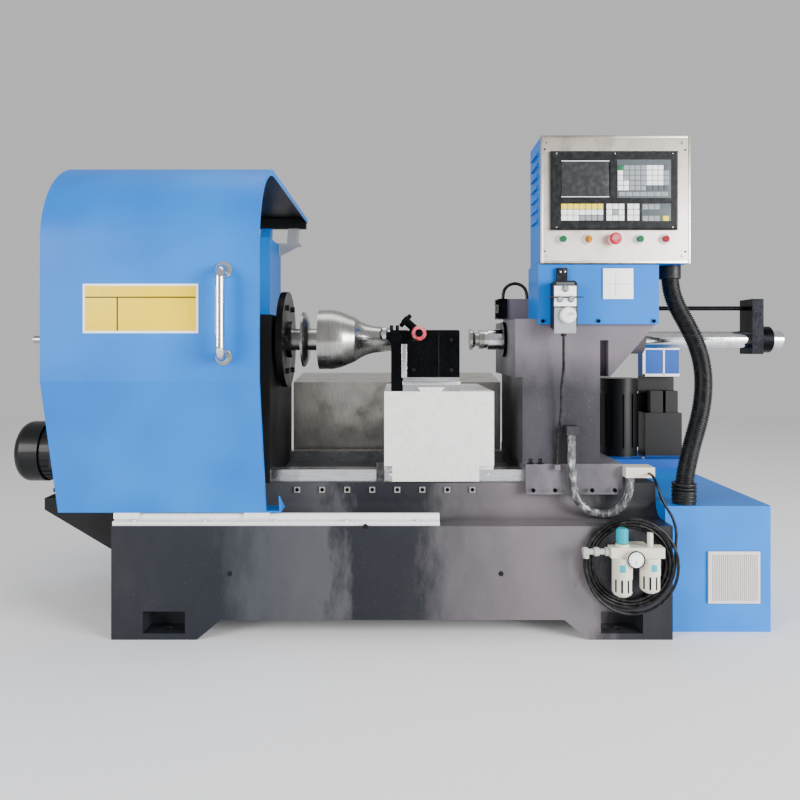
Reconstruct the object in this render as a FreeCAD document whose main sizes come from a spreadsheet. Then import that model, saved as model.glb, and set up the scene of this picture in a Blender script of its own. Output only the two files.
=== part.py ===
"""Metal spinning lathe: a bed with a belted headstock, a cross slide with forming
rollers, a hydraulic tailstock that presses the blank on a turned mandrel, a sliding
sheet guard, a control box on the tailstock and the cabinets beside the bed.

Millimetres. +X runs from the headstock to the tailstock, +Y to the back, +Z up.
The origin is on the floor below the middle of the machine's box.
"""
import FreeCAD, Part
import Sketcher
import math
import os

SIZES = {
    # Bed: a long casting on two feet, with a raised way block behind its ledge
    "bed_left": -906, "bed_right": 874, "bed_front": -463, "bed_deep": 766, "bed_high": 360,
    "foot_left_long": 272, "foot_right_long": 268, "foot_bevel": 75, "arch_high": 63,
    "way_front": 150, "way_high": 109, "way_cove": 50,
    "pocket_long": 134, "pocket_high": 70, "pocket_deep": 84, "pocket_floor": 20,
    "anchor_span_x": 1452, "anchor_mid_x": -13, "anchor_inset": 44, "anchor_hole": 13,
    # Guideways of the saddle
    "rail_half": 430, "rail_inset": 17, "rail_wide": 60, "rail_high": 42, "rail_span": 433,
    "gib_size": 20, "gib_proud": 6, "gib_hole": 5, "gib_first": -337, "gib_pitch": 84.5,
    "gib_drop": 22, "gib_count": 8,
    # Guard rail on the front ledge and the shaft on top of it
    "guard_rail_right": 136, "guard_rail_y": 35, "guard_rail_wide": 52, "guard_base_high": 12,
    "guard_web": 12, "guard_shaft_r": 12.5, "guard_shaft_up": 22, "guard_screw_r": 5,
    "guard_screw_first": -839, "guard_screw_pitch": 226,
    # Spindle line
    "axis_y": 350, "axis_z": 956, "run_gap": 0.05, "seat_gap": 0.3,
    "head_right": -430, "head_long": 470, "head_deep": 500, "head_wall": 30,
    "head_top": 1040, "head_chamfer": 30, "head_boss_r": 82, "head_boss_long": 9,
    "bearing_r": 80, "bearing_wide": 45, "bearing_in": 12,
    "shaft_r": 39.5, "shaft_left": -1030, "shaft_right": -283, "draw_rod_r": 13.5,
    "draw_rod_left": -1327, "plate_r": 174, "plate_left": -417, "plate_thick": 23,
    "plate_hub_r": 66, "plate_hub_long": 14, "plate_bolt_r": 10, "plate_bolt_circle": 130,
    "disc_r": 100, "disc_left": -345, "disc_thick": 9, "disc_hub_r": 52, "disc_hub_long": 26,
    "mandrel_back_r": 108, "mandrel_back_long": 48, "mandrel_nose_x": -18, "mandrel_nose_r": 41,
    "mandrel_belly_x": -192, "mandrel_belly_r": 97, "mandrel_waist_x": -152,
    "mandrel_waist_r": 80, "mandrel_neck_x": -75, "mandrel_neck_r": 48,
    "mandrel_crown": 190, "mandrel_hollow": 150, "disc_crown": 90,
    # Belt drive and motor
    "pulley_left": -1010, "pulley_wide": 80, "spindle_pulley_r": 120, "motor_pulley_r": 70,
    "groove_deep": 11, "groove_pitch": 18, "groove_count": 4, "groove_land": 3,
    "belt_wide": 8, "belt_proud": 1, "shaft_in": 20,
    "motor_y": 440, "motor_z": 536, "motor_r": 104, "motor_left": -1330, "motor_long": 280,
    "motor_shaft_r": 19, "fin_count": 28, "fin_high": 7, "fin_thick": 4, "fin_root": 3,
    "motor_foot_wide": 176, "motor_foot_thick": 14, "motor_web_wide": 140,
    "terminal_long": 130, "terminal_deep": 90, "terminal_high": 80, "cowl_wall": 4,
    "cowl_r": 112, "cowl_left": -1405, "cowl_long": 95, "cowl_round": 34,
    "platform_left": -1241, "platform_y": 250, "platform_deep": 380, "platform_high": 27,
    "platform_top": 397, "strut_thick": 14, "strut_drop": 180,
    # Sliding guard
    "guard_left": -1084, "guard_right": -420, "guard_sheet": 4, "guard_lip": 20,
    "guard_bottom_y": 20, "guard_bottom_z": 398.5, "guard_bend_y": -96, "guard_low_bend": 824,
    "guard_high_bend": 1259, "guard_roof_y": 190, "guard_roof_z": 1529, "guard_back_y": 1087,
    "guard_arc_r": 283, "foot_long": 60, "foot_deep": 84, "foot_high": 56,
    "foot_past": 48, "slot_gap": 3,
    "runner_long": 79, "runner_wide": 42, "runner_low": 9, "runner_first": -904,
    "runner_second": -488, "handle_x": -525, "handle_low": 897, "handle_high": 1162,
    "handle_r": 14, "handle_out": 51, "handle_bend": 32, "handle_flange_r": 25,
    "handle_flange_thick": 5, "track_high": 44, "track_deep": 36, "track_wall": 6,
    # Rear cabinet behind the headstock, with the rollers that carry the guard's back
    "rear_cab_left": -1080, "rear_cab_right": -540, "rear_cab_deep": 284, "rear_cab_top": 1395,
    "door_inset": 24, "door_proud": 3, "toe_deep": 60, "toe_high": 100,
    "glide_wide": 20, "glide_long": 46, "stand_thick": 8, "stand_wide": 60, "stand_right": -443,
    "stand_long": 240, "glide_first": -605, "glide_pitch": 125, "gusset_drop": 50,
    # Folded cover behind the saddle
    "cover_y": 700, "cover_bend_z": 783, "cover_back_y": 1000, "cover_back_z": 812,
    "cover_sheet": 3, "cover_hem": 40,
    # Saddle, apron, cross slide and the tool head on it
    "saddle_left": -43, "saddle_long": 371, "saddle_back": 682, "saddle_top": 778,
    "saddle_skirt_z": 526, "apron_thick": 5, "apron_low_in": 27, "apron_low_long": 294,
    "apron_low_z": 474, "wiper_thick": 27, "wiper_top": 536, "wiper_wall": 6,
    "slide_left": 20, "slide_wide": 192, "slide_high": 48, "slide_front": 160,
    "slide_deep": 290, "dovetail_wide": 90, "dovetail_high": 14, "dovetail_lean": 10,
    "tool_left": 37, "tool_front": 152, "tool_deep": 92, "tool_high": 160, "tool_chamfer": 4,
    "post_left": -20, "post_front": 165, "post_deep": 68, "post_high": 160,
    "post_rib_wide": 19, "post_rib_in": 20, "post_rib_proud": 5,
    "arm_r": 24, "arm_x": -7, "arm_z": 961, "arm_proud": 10, "arm_bolt_r": 6, "arm_bolt_high": 9,
    "forming_r": 24, "forming_wide": 26, "forming_y": 212, "forming_z": 973, "pin_r": 8,
    "wheel_gap": 0.5, "trim_r": 27, "trim_wide": 15, "trim_x": 24, "trim_y": 196,
    "trim_z": 1024, "trim_lean": 42, "stalk_long": 50, "cap_thick": 3,
    "nylon_r": 25, "nylon_wide": 22, "nylon_x": 74,
    "nylon_z": 975,
    # Tailstock
    "tail_left": 430, "tail_long": 323, "tail_front": 120, "tail_deep": 560, "tail_base_high": 69,
    "tail_skirt": 33, "column_left": 419, "column_long": 259, "column_deep": 470,
    "house_left": 395, "house_bottom": 827, "house_slope_x": 710, "house_right": 879,
    "house_top": 1022, "tail_slot_wide": 28, "tail_slot_low": 831, "tail_slot_high": 120,
    "tail_slot_deep": 36, "quill_r": 37.5, "quill_left": 318, "quill_step": 825,
    "bar_r": 31.5, "bar_right": 1405, "sleeve_r": 52, "sleeve_left": 640, "sleeve_right": 895,
    "gland_thick": 14, "boss_front": 306, "boss_deep": 88, "boss_right": 600, "boss_top": 1102,
    "rod_r": 8, "rod_z": 1070, "rod_left": 560, "rod_past": 22,
    "collar_r": 64, "collar_thick": 12, "nose_left": 364, "nose_thick": 31, "nose_bolt_r": 9,
    "quill_neck": 12, "quill_bevel": 4, "centre_rim": 9, "centre_waist": 34,
    "centre_left": 265, "centre_r": 37.5, "centre_shank_r": 12, "centre_shank_right": 400,
    "bracket_in": 127, "bracket_thick": 80, "bracket_wide": 96, "bracket_low": 903,
    "tail_screw_r": 6, "tail_screw_up": 14, "tail_screw_first": 450, "tail_screw_pitch": 94,
    "lead_gland_x": 532, "lead_gland_r": 9, "strain_relief": 22,
    # Control box and its pedestal
    "pedestal_left": 468, "pedestal_long": 399, "pedestal_front": 100, "pedestal_deep": 178,
    "pedestal_skirt": 18, "box_left": 475, "box_long": 495, "box_low": 1205, "box_high": 423,
    "box_chamfer": 5, "louvre_count": 7, "louvre_first": 1350, "louvre_pitch": 37,
    "louvre_long": 96, "louvre_proud": 9, "plate_thin": 3, "plate_margin": 8,
    "plate_screw_r": 5, "plate_screw_in": 16,
    "cnc_left": 506, "cnc_low": 1314, "cnc_wide": 420, "cnc_high": 260, "cnc_proud": 14,
    "screen_left": 539, "screen_low": 1419, "screen_wide": 162, "screen_high": 125,
    "screen_deep": 6, "key_gap": 4, "key_proud": 4, "upper_left": 722, "upper_low": 1419,
    "upper_wide": 176, "upper_high": 125, "upper_cols": 9, "upper_rows": 6,
    "lower_left": 532, "lower_low": 1343, "lower_wide": 362, "lower_high": 60,
    "lower_cols": 16, "lower_rows": 3,
    "button_z": 1284, "button_ring_r": 15, "button_ring_proud": 5, "button_r": 10.5,
    "button_proud": 13, "stop_r": 20, "stop_proud": 26, "selector_long": 24,
    "button_in_left": 72, "button_in_right": 84.6, "button_hole": 8, "stem_deep": 30,
    "button_seat": 0.5, "stop_dome": 13, "stop_round": 6, "stop_neck_gap": 2,
    "selector_wide": 7, "cap_round": 2,
    # Hand pendant
    "pendant_left": 505, "pendant_wide": 78, "pendant_low": 985, "pendant_high": 158,
    "pendant_deep": 42, "hook_wide": 34, "hook_high": 46, "hook_thick": 12,
    "wheel_r": 26, "wheel_thick": 14, "wheel_z": 1031, "wheel_x": 552, "wheel_pin_r": 5,
    "knob_small_r": 8, "knob_small_proud": 10, "crank_r": 4.5, "crank_long": 16,
    # Cabinet at the right end and the hydraulic unit behind it
    "cab_right": 1221, "cab_front": 63, "cab_deep": 717, "cab_high": 410, "cab_chamfer": 6,
    "vent_left": 1012, "vent_low": 95, "vent_size": 168, "vent_back": 3, "vent_proud": 7,
    "vent_slats": 22, "vent_frame": 9,
    "tank_left": 855, "tank_long": 400, "tank_deep": 262, "tank_high": 450, "tank_rim": 12,
    "pump_fins": 12, "valve_gap": 12, "valve_in": 14,
    "tank_lid": 6, "pump_x": 985, "pump_r": 80, "pump_high": 285, "pump_cap_r": 84,
    "manifold_left": 1090, "manifold_wide": 160, "manifold_deep": 92, "manifold_high": 190,
    "valve_wide": 54, "valve_high": 96, "panel_thick": 6, "panel_top": 925,
    "gauge_box_high": 126, "gauge_box_deep": 60,
    # Air service unit on the bed's front face
    "air_x": 739, "air_z": 296, "air_long": 164, "air_high": 32, "air_deep": 40,
    "air_out": 36, "bowl_r": 31, "bowl_high": 122, "bowl_pitch": 86, "bowl_cap": 8,
    "knob_r": 17, "knob_high": 56, "knob_edge": 4, "dial_r": 26, "dial_thick": 14, "coupler_r": 9,
    "coupler_long": 82, "sight_r": 9, "sight_high": 42, "knob_stem_r": 7,
    # Cables and hoses, and the pieces that hold their ends
    "conduit_x": 932, "conduit_y": 178, "conduit_end_right": 20, "conduit_end_front": 73,
    "conduit_r": 30, "conduit_bore": 24, "conduit_rib": 2.5, "conduit_ribs": 48,
    "cuff_wall": 6, "cuff_high": 44, "wrapped_r": 14, "lead_r": 4.5, "sensor_r": 6,
    "sensor_right": 476, "sensor_span": 88, "hose_end_x": 829, "hose_end_z": 512,
    "hose_r": 4.5, "coil_outer": 149, "coil_x": 733, "coil_z": 248, "coil_in_pitch": 9.9,
    "coil_in_turns": 3.75, "coil_out_pitch": 12.8, "coil_end_turn": 6.5,
    "coil_front_layer": 21, "coil_back_layer": 8, "coil_steps": 4,
    "gland_x": 577, "gland_wide": 40, "gland_low": 640, "gland_high": 28, "gland_out": 44,
    "junction_long": 95, "junction_low": 498, "junction_front": 84, "junction_deep": 68,
    "junction_high": 34,
}


class Size:
    """A length that knows its value and the formula that gives it."""

    def __init__(self, value, text):
        self.value = float(value)
        self.text = text

    def __add__(self, other):
        return Size(self.value + number(other), f"({self.text} + {formula(other)})")

    def __radd__(self, other):
        return Size(number(other) + self.value, f"({formula(other)} + {self.text})")

    def __sub__(self, other):
        return Size(self.value - number(other), f"({self.text} - {formula(other)})")

    def __rsub__(self, other):
        return Size(number(other) - self.value, f"({formula(other)} - {self.text})")

    def __mul__(self, other):
        return Size(self.value * number(other), f"({self.text} * {formula(other)})")

    __rmul__ = __mul__

    def __truediv__(self, other):
        return Size(self.value / number(other), f"({self.text} / {formula(other)})")

    def __neg__(self):
        return Size(-self.value, f"(0 - {self.text})")


def number(length):
    return length.value if isinstance(length, Size) else float(length)


def formula(length):
    return length.text if isinstance(length, Size) else f"({length})"


doc = FreeCAD.newDocument("SpinningLathe")
sheet = doc.addObject("Spreadsheet::Sheet", "Dimensions")
for row, (name, value) in enumerate(SIZES.items(), start=1):
    sheet.set(f"A{row}", name)
    sheet.set(f"B{row}", str(value))
    sheet.setAlias(f"B{row}", name)
doc.recompute()


class Book:
    """The sheet's sizes by name, such as D.bed_high."""

    def __getattr__(self, name):
        return Size(SIZES[name], f"Dimensions.{name}")


D = Book()
Y0 = D.bed_front
NODES = []


def bind(item, prop, length):
    """Tie a property to its formula in the sheet."""
    item.setExpression(prop, formula(length))


def place(item, x=0, y=0, z=0):
    for key, length in (("x", x), ("y", y), ("z", z)):
        bind(item, f"Placement.Base.{key}", length)
    return item


def node(item, label):
    """Name a finished piece: its label is its file's name."""
    item.Label = label
    NODES.append(item)
    return item


def box(x, y, z, long, deep, high):
    item = doc.addObject("Part::Box", "Block")
    bind(item, "Length", long)
    bind(item, "Width", deep)
    bind(item, "Height", high)
    return place(item, x, y, z)


TURN = {
    "X": FreeCAD.Rotation(FreeCAD.Vector(0, 1, 0), 90),
    "Y": FreeCAD.Rotation(FreeCAD.Vector(1, 0, 0), -90),
    "Z": FreeCAD.Rotation(),
}


def rod(axis, radius, long, x, y, z):
    """A cylinder that starts at the point and runs along +axis."""
    item = doc.addObject("Part::Cylinder", "Rod")
    bind(item, "Radius", radius)
    bind(item, "Height", long)
    item.Placement.Rotation = TURN[axis]
    return place(item, x, y, z)


def fuse(*items):
    item = doc.addObject("Part::MultiFuse", "Joined")
    item.Shapes = list(items)
    return item


def cut(base, *tools):
    item = doc.addObject("Part::Cut", "Cutout")
    item.Base = base
    item.Tool = tools[0] if len(tools) == 1 else fuse(*tools)
    return item


def group(*items):
    """Several separate solids in one node."""
    item = doc.addObject("Part::Compound", "Group")
    item.Links = list(items)
    return item


def chamfer(base, size, wanted):
    """Chamfer the straight edges that wanted(edge) picks."""
    doc.recompute()
    item = doc.addObject("Part::Chamfer", "Chamfered")
    item.Base = base
    reach = number(size)
    picked = [i for i, edge in enumerate(base.Shape.Edges, start=1) if wanted(edge)]
    item.Edges = [(i, reach, reach) for i in picked]
    return item


def runs_along(edge, axis):
    direction = edge.tangentAt(edge.FirstParameter)
    return abs(abs(getattr(direction, axis.lower())) - 1) < 1e-6


def seen_edges(axis, **limits):
    """Pick edges along an axis, whose middle is at or past each limit, as z_over=20."""
    def wanted(edge):
        if not runs_along(edge, axis):
            return False
        middle = edge.BoundBox.Center
        for key, bound in limits.items():
            spot = getattr(middle, key[0])
            past = spot > number(bound) - 0.5 if key.endswith("over") else spot < number(bound) + 0.5
            if not past:
                return False
        return True
    return wanted


PLANES = {"XY": "XY_Plane", "XZ": "XZ_Plane", "YZ": "YZ_Plane"}


def plane_of(body, plane):
    for feature in body.Origin.OriginFeatures:
        if feature.Role == PLANES[plane]:
            return feature
    raise RuntimeError(f"no plane {plane}")


def arc_between(start, end, radius, side):
    """The minor arc from start to end, whose centre is left (1) or right (-1) of the way."""
    middle = (start + end) * 0.5
    way = end - start
    half = way.Length / 2
    normal = FreeCAD.Vector(-way.y, way.x, 0).normalize()
    centre = middle + normal * side * math.sqrt(max(radius * radius - half * half, 0))
    first, last = (start, end) if side > 0 else (end, start)
    turn = FreeCAD.Vector(0, 0, 1)
    circle = Part.Circle(centre, turn, radius)
    return Part.ArcOfCircle(circle, circle.parameter(first), circle.parameter(last))


def sketch_outline(body, plane, corners):
    """A closed outline whose corners, and arc radii, are all bound to the sheet.

    A corner is (across, up), or (across, up, radius, side) where an arc leaves it.
    """
    sketch = body.newObject("Sketcher::SketchObject", "Outline")
    sketch.AttachmentSupport = [(plane_of(body, plane), "")]
    sketch.MapMode = "FlatFace"
    spots = [FreeCAD.Vector(number(c[0]), number(c[1]), 0) for c in corners]
    starts = []
    for i, corner in enumerate(corners):
        start, end = spots[i], spots[(i + 1) % len(spots)]
        if len(corner) == 2:
            sketch.addGeometry(Part.LineSegment(start, end))
            starts.append(1)
        else:
            sketch.addGeometry(arc_between(start, end, number(corner[2]), corner[3]))
            starts.append(1 if corner[3] > 0 else 2)
    for i, corner in enumerate(corners):
        before = (i - 1) % len(corners)
        sketch.addConstraint(joint_of(before, 3 - starts[before], i, starts[i]))
        for kind, length in (("DistanceX", corner[0]), ("DistanceY", corner[1])):
            dimension(sketch, kind, (-1, 1, i, starts[i]), length)
        if len(corner) == 4:
            dimension(sketch, "Radius", (i,), corner[2])
    return sketch


def joint_of(first, first_end, second, second_end):
    return Sketcher.Constraint("Coincident", first, first_end, second, second_end)


def dimension(sketch, kind, where, length):
    index = sketch.addConstraint(Sketcher.Constraint(kind, *where, number(length)))
    bind(sketch, f"Constraints[{index}]", length)


def prism(plane, corners, start, long):
    """A padded outline. It runs from start along the axis that the plane lacks."""
    body = doc.addObject("PartDesign::Body", "Prism")
    sketch = sketch_outline(body, plane, corners)
    pad = body.newObject("PartDesign::Pad", "Pad")
    pad.Profile = sketch
    bind(pad, "Length", long)
    pad.Reversed = plane == "XZ"
    sketch.Visibility = False
    offset = {"XY": (0, 0, start), "XZ": (0, start, 0), "YZ": (start, 0, 0)}[plane]
    return place(body, *offset)


def turned(axis, corners, x=0, y=0, z=0):
    """A revolved outline. Corners are (along, radius), or (radius, up) about Z."""
    body = doc.addObject("PartDesign::Body", "Turned")
    sketch = sketch_outline(body, "YZ" if axis == "Y" else "XZ", corners)
    spin = body.newObject("PartDesign::Revolution", "Revolution")
    spin.Profile = sketch
    spin.ReferenceAxis = (sketch, ["V_Axis" if axis == "Z" else "H_Axis"])
    spin.Angle = 360
    return place(body, x, y, z)


def bent_wire(points, radii):
    """Straight runs joined by tangent arcs, one radius for each inner point."""
    edges = []
    at = points[0]
    for i in range(1, len(points) - 1):
        back = (points[i - 1] - points[i]).normalize()
        on = (points[i + 1] - points[i]).normalize()
        half = (math.pi - back.getAngle(on)) / 2
        reach = radii[i - 1] * math.tan(half)
        start, end = points[i] + back * reach, points[i] + on * reach
        inward = (back + on).normalize()
        middle = points[i] + inward * (radii[i - 1] / math.cos(half) - radii[i - 1])
        if (start - at).Length > 1e-6:
            edges.append(Part.LineSegment(at, start).toShape())
        edges.append(Part.Arc(start, middle, end).toShape())
        at = end
    if (points[-1] - at).Length > 1e-6:
        edges.append(Part.LineSegment(at, points[-1]).toShape())
    return Part.Wire(edges)


def swept(wire, radius):
    """A round bar along straight runs and arcs: one true cylinder or torus wall for each."""
    edges = wire.OrderedEdges
    start = edges[0]
    at = start.valueAt(start.FirstParameter)
    ring = Part.Wire(Part.makeCircle(radius, at, start.tangentAt(start.FirstParameter)))
    faces = [Part.Face(ring)]
    for edge in edges:
        wall, ring = carried(ring, edge)
        faces.extend(wall.Faces)
    faces.append(Part.Face(ring))
    shell = Part.Shell(faces)
    shell.sewShape()
    return Part.Solid(shell)


def carried(ring, edge):
    """The wall that a ring leaves when it goes along an edge, and the ring at the end."""
    end = ring.copy()
    if isinstance(edge.Curve, Part.Circle):
        turn = math.degrees(edge.LastParameter - edge.FirstParameter)
        wall = ring.revolve(edge.Curve.Center, edge.Curve.Axis, turn)
        end.rotate(edge.Curve.Center, edge.Curve.Axis, turn)
        return wall, end
    step = edge.valueAt(edge.LastParameter) - edge.valueAt(edge.FirstParameter)
    end.translate(step)
    return ring.extrude(step), end


# Heights and places that several pieces share
AXIS_Y = Y0 + D.axis_y
WAY_TOP = D.bed_high + D.way_high
WAY_FRONT = Y0 + D.way_front
BED_BACK = Y0 + D.bed_deep
BED_LONG = D.bed_right - D.bed_left
RAIL_Y = WAY_FRONT + D.rail_inset
RAIL_TOP = WAY_TOP + D.rail_high
SHAFT_Z = D.bed_high + D.guard_shaft_up
GUARD_LONG = D.guard_right - D.guard_left


def bed():
    foot_end = D.bed_left + D.foot_left_long
    foot_start = D.bed_right - D.foot_right_long
    plinth = prism("XZ", [
        (D.bed_left, 0), (foot_end, 0), (foot_end + D.foot_bevel, D.arch_high),
        (foot_start - D.foot_bevel, D.arch_high), (foot_start, 0), (D.bed_right, 0),
        (D.bed_right, D.bed_high), (D.bed_left, D.bed_high)], Y0, D.bed_deep)
    way = prism("YZ", [
        (WAY_FRONT - D.way_cove, D.bed_high, D.way_cove, 1),
        (WAY_FRONT, D.bed_high + D.way_cove), (WAY_FRONT, WAY_TOP), (BED_BACK, WAY_TOP),
        (BED_BACK, D.bed_high)], D.bed_left, BED_LONG)
    tools = []
    for side in (-1, 1):
        x = D.anchor_mid_x + side * D.anchor_span_x / 2
        for y, hole_y in ((Y0, Y0 + D.anchor_inset),
                          (BED_BACK - D.pocket_deep, BED_BACK - D.anchor_inset)):
            tools.append(box(x - D.pocket_long / 2, y, D.pocket_floor,
                             D.pocket_long, D.pocket_deep, D.pocket_high))
            tools.append(rod("Z", D.anchor_hole, D.pocket_floor, x, hole_y, 0))
    node(cut(fuse(plinth, way), *tools), "bed_casting")


def guideways():
    rails = []
    for y in (RAIL_Y, RAIL_Y + D.rail_span):
        rails.append(box(-D.rail_half, y, WAY_TOP, 2 * D.rail_half, D.rail_wide, D.rail_high))
    node(group(*rails), "guideway_rails")
    clamps = []
    for i in range(SIZES["gib_count"]):
        x = D.gib_first + i * D.gib_pitch
        z = WAY_TOP - D.gib_drop
        block = box(x - D.gib_size / 2, WAY_FRONT - D.gib_proud, z - D.gib_size / 2,
                    D.gib_size, D.gib_proud, D.gib_size)
        hole = rod("Y", D.gib_hole, D.gib_proud / 2, x, WAY_FRONT - D.gib_proud, z)
        clamps.append(cut(block, hole))
    node(group(*clamps), "gib_clamps")


def guard_rail():
    y = Y0 + D.guard_rail_y
    long = D.guard_rail_right - D.bed_left
    front = y - D.guard_rail_wide / 2
    base = box(D.bed_left, front, D.bed_high, long, D.guard_rail_wide, D.guard_base_high)
    web = box(D.bed_left, y - D.guard_web / 2, D.bed_high, long, D.guard_web, D.guard_shaft_up)
    shaft = rod("X", D.guard_shaft_r, long, D.bed_left, y, SHAFT_Z)
    screws = []
    for i in range(5):
        screws.append(rod("Z", D.guard_screw_r, D.guard_screw_r,
                          D.guard_screw_first + i * D.guard_screw_pitch,
                          front + 1.6 * D.guard_screw_r, D.bed_high + D.guard_base_high))
    node(fuse(base, web, shaft, *screws), "guard_rail")


def headstock():
    left = D.head_right - D.head_long
    high = D.head_top - WAY_TOP
    shell = box(left, WAY_FRONT, WAY_TOP, D.head_long, D.head_deep, high)
    bevelled = chamfer(shell, D.head_chamfer, seen_edges("X", z_over=D.head_top))
    boss = rod("X", D.head_boss_r, D.head_boss_long, D.head_right, AXIS_Y, D.axis_z)
    bore = rod("X", D.shaft_r + D.head_wall / 2, D.head_long + D.head_boss_long,
               left, AXIS_Y, D.axis_z)
    seats = []
    spots = (left + D.bearing_in, D.head_right - D.bearing_in - D.bearing_wide)
    for x in spots:
        seats.append(rod("X", D.bearing_r, D.bearing_wide, x, AXIS_Y, D.axis_z))
    node(cut(fuse(bevelled, boss), bore, *seats), "headstock_casting")
    rings = []
    for x in spots:
        ring = rod("X", D.bearing_r, D.bearing_wide, x, AXIS_Y, D.axis_z)
        eye = rod("X", D.shaft_r + D.run_gap, D.bearing_wide, x, AXIS_Y, D.axis_z)
        rings.append(cut(ring, eye))
    node(group(*rings), "spindle_bearings")


def spindle():
    shaft = turned("X", [
        (D.shaft_left, 0), (D.shaft_left, D.shaft_r), (D.shaft_right, D.shaft_r),
        (D.shaft_right, 0)], 0, AXIS_Y, D.axis_z)
    draw_rod = rod("X", D.draw_rod_r, D.shaft_left - D.draw_rod_left, D.draw_rod_left,
                   AXIS_Y, D.axis_z)
    node(group(shaft, draw_rod), "spindle_shaft")
    face = D.plate_left + D.plate_thick
    plate = turned("X", [
        (D.plate_left, D.shaft_r), (D.plate_left, D.plate_r),
        (face, D.plate_r), (face, D.plate_hub_r),
        (face + D.plate_hub_long, D.plate_hub_r), (face + D.plate_hub_long, D.shaft_r)],
        0, AXIS_Y, D.axis_z)
    bolts = []
    for i in range(6):
        angle = math.radians(60 * i)
        bolts.append(rod("X", D.plate_bolt_r, D.plate_bolt_r, face,
                         AXIS_Y + math.cos(angle) * D.plate_bolt_circle,
                         D.axis_z + math.sin(angle) * D.plate_bolt_circle))
    node(fuse(plate, *bolts), "face_plate")
    back = D.shaft_right
    node(turned("X", [
        (back, 0), (back, D.mandrel_back_r),
        (back + D.mandrel_back_long, D.mandrel_back_r, D.mandrel_crown, -1),
        (D.mandrel_belly_x, D.mandrel_belly_r),
        (D.mandrel_waist_x, D.mandrel_waist_r, D.mandrel_hollow, 1),
        (D.mandrel_neck_x, D.mandrel_neck_r), (D.mandrel_nose_x, D.mandrel_nose_r),
        (D.mandrel_nose_x, 0)], 0, AXIS_Y, D.axis_z), "mandrel")
    left = D.disc_left
    gap = D.shaft_r + D.run_gap
    node(turned("X", [
        (left, gap), (left, D.disc_hub_r),
        (left + D.disc_hub_long / 3, D.disc_hub_r, D.disc_crown, 1),
        (left + 0.2 * D.disc_thick, D.disc_r), (left + D.disc_thick, D.disc_r, D.disc_crown, -1),
        (left + D.disc_hub_long, D.disc_hub_r / 1.1), (left + D.disc_hub_long, gap)],
        0, AXIS_Y, D.axis_z), "ejector_disc")


def grooved(radius, inner):
    """The outline of a vee-belt pulley from its left face."""
    corners = [(0, inner), (0, radius)]
    first = (D.pulley_wide - SIZES["groove_count"] * D.groove_pitch) / 2
    for i in range(SIZES["groove_count"]):
        start = first + i * D.groove_pitch + D.groove_land / 3
        end = start + D.groove_pitch - D.groove_land
        corners.append((start, radius))
        corners.append((start + D.groove_deep / 3, radius - D.groove_deep))
        corners.append((end - D.groove_deep / 3, radius - D.groove_deep))
        corners.append((end, radius))
    corners.append((D.pulley_wide, radius))
    corners.append((D.pulley_wide, inner))
    return corners


def belt_drive():
    motor_y = Y0 + D.motor_y
    node(turned("X", grooved(D.spindle_pulley_r, D.shaft_r), D.pulley_left, AXIS_Y, D.axis_z),
         "spindle_pulley")
    wheel = turned("X", grooved(D.motor_pulley_r, D.motor_shaft_r), D.pulley_left,
                   motor_y, D.motor_z)
    start = D.motor_left + D.motor_long - D.shaft_in
    shaft = rod("X", D.motor_shaft_r, D.pulley_left + D.pulley_wide - start, start, motor_y,
                D.motor_z)
    node(fuse(wheel, shaft), "motor_pulley")
    node(belts(motor_y), "drive_belts")


def belts(motor_y):
    """Closed belts round both pulleys, just clear of the groove walls."""
    upper = FreeCAD.Vector(0, number(AXIS_Y), number(D.axis_z))
    lower = FreeCAD.Vector(0, number(motor_y), number(D.motor_z))
    loops = []
    proud = SIZES["belt_proud"]
    first = (D.pulley_wide - SIZES["groove_count"] * D.groove_pitch) / 2
    for i in range(SIZES["groove_count"]):
        middle = D.pulley_left + first + (i + 0.5) * D.groove_pitch - D.groove_land / 6
        start = number(middle) - SIZES["belt_wide"] / 2
        inner = belt_prism(upper, lower, SIZES["groove_deep"] - SIZES["seat_gap"] - proud)
        ring = belt_prism(upper, lower, -proud).cut(inner)
        ring.translate(FreeCAD.Vector(start, 0, 0))
        loops.append(ring)
    item = doc.addObject("Part::Feature", "Belts")
    item.Shape = Part.makeCompound(loops)
    return item


def belt_prism(upper, lower, depth):
    """The prism inside a belt that runs at a depth below both rims."""
    r_up = SIZES["spindle_pulley_r"] - depth
    r_low = SIZES["motor_pulley_r"] - depth
    span = lower - upper
    lean = math.atan2(span.z, span.y)
    spread = math.acos((r_up - r_low) / span.Length)
    points = []
    for centre, radius, sign in ((upper, r_up, 1), (lower, r_low, 1),
                                 (lower, r_low, -1), (upper, r_up, -1)):
        angle = lean + sign * spread
        points.append(centre + FreeCAD.Vector(0, math.cos(angle), math.sin(angle)) * radius)
    far_low = lower + span.normalize() * r_low
    far_up = upper - span * r_up
    wire = Part.Wire([
        Part.LineSegment(points[0], points[1]).toShape(),
        Part.Arc(points[1], far_low, points[2]).toShape(),
        Part.LineSegment(points[2], points[3]).toShape(),
        Part.Arc(points[3], far_up, points[0]).toShape()])
    return Part.Face(wire).extrude(FreeCAD.Vector(SIZES["belt_wide"], 0, 0))


def motor():
    motor_y = Y0 + D.motor_y
    platform_y = Y0 + D.platform_y
    under = D.platform_top - D.platform_high
    plate = box(D.platform_left, platform_y, under, D.bed_left - D.platform_left,
                D.platform_deep, D.platform_high)
    struts = []
    for y in (platform_y, platform_y + D.platform_deep - D.strut_thick):
        struts.append(prism("XZ", [
            (D.bed_left, under - D.strut_drop), (D.bed_left, under),
            (D.platform_left, under), (D.platform_left, under - D.strut_thick),
            (D.bed_left - 4 * D.strut_thick, under - D.strut_drop)], y, D.strut_thick))
    node(fuse(plate, *struts), "motor_platform")
    node(group(motor_body(motor_y), motor_cowl(motor_y)), "spindle_motor")


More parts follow.
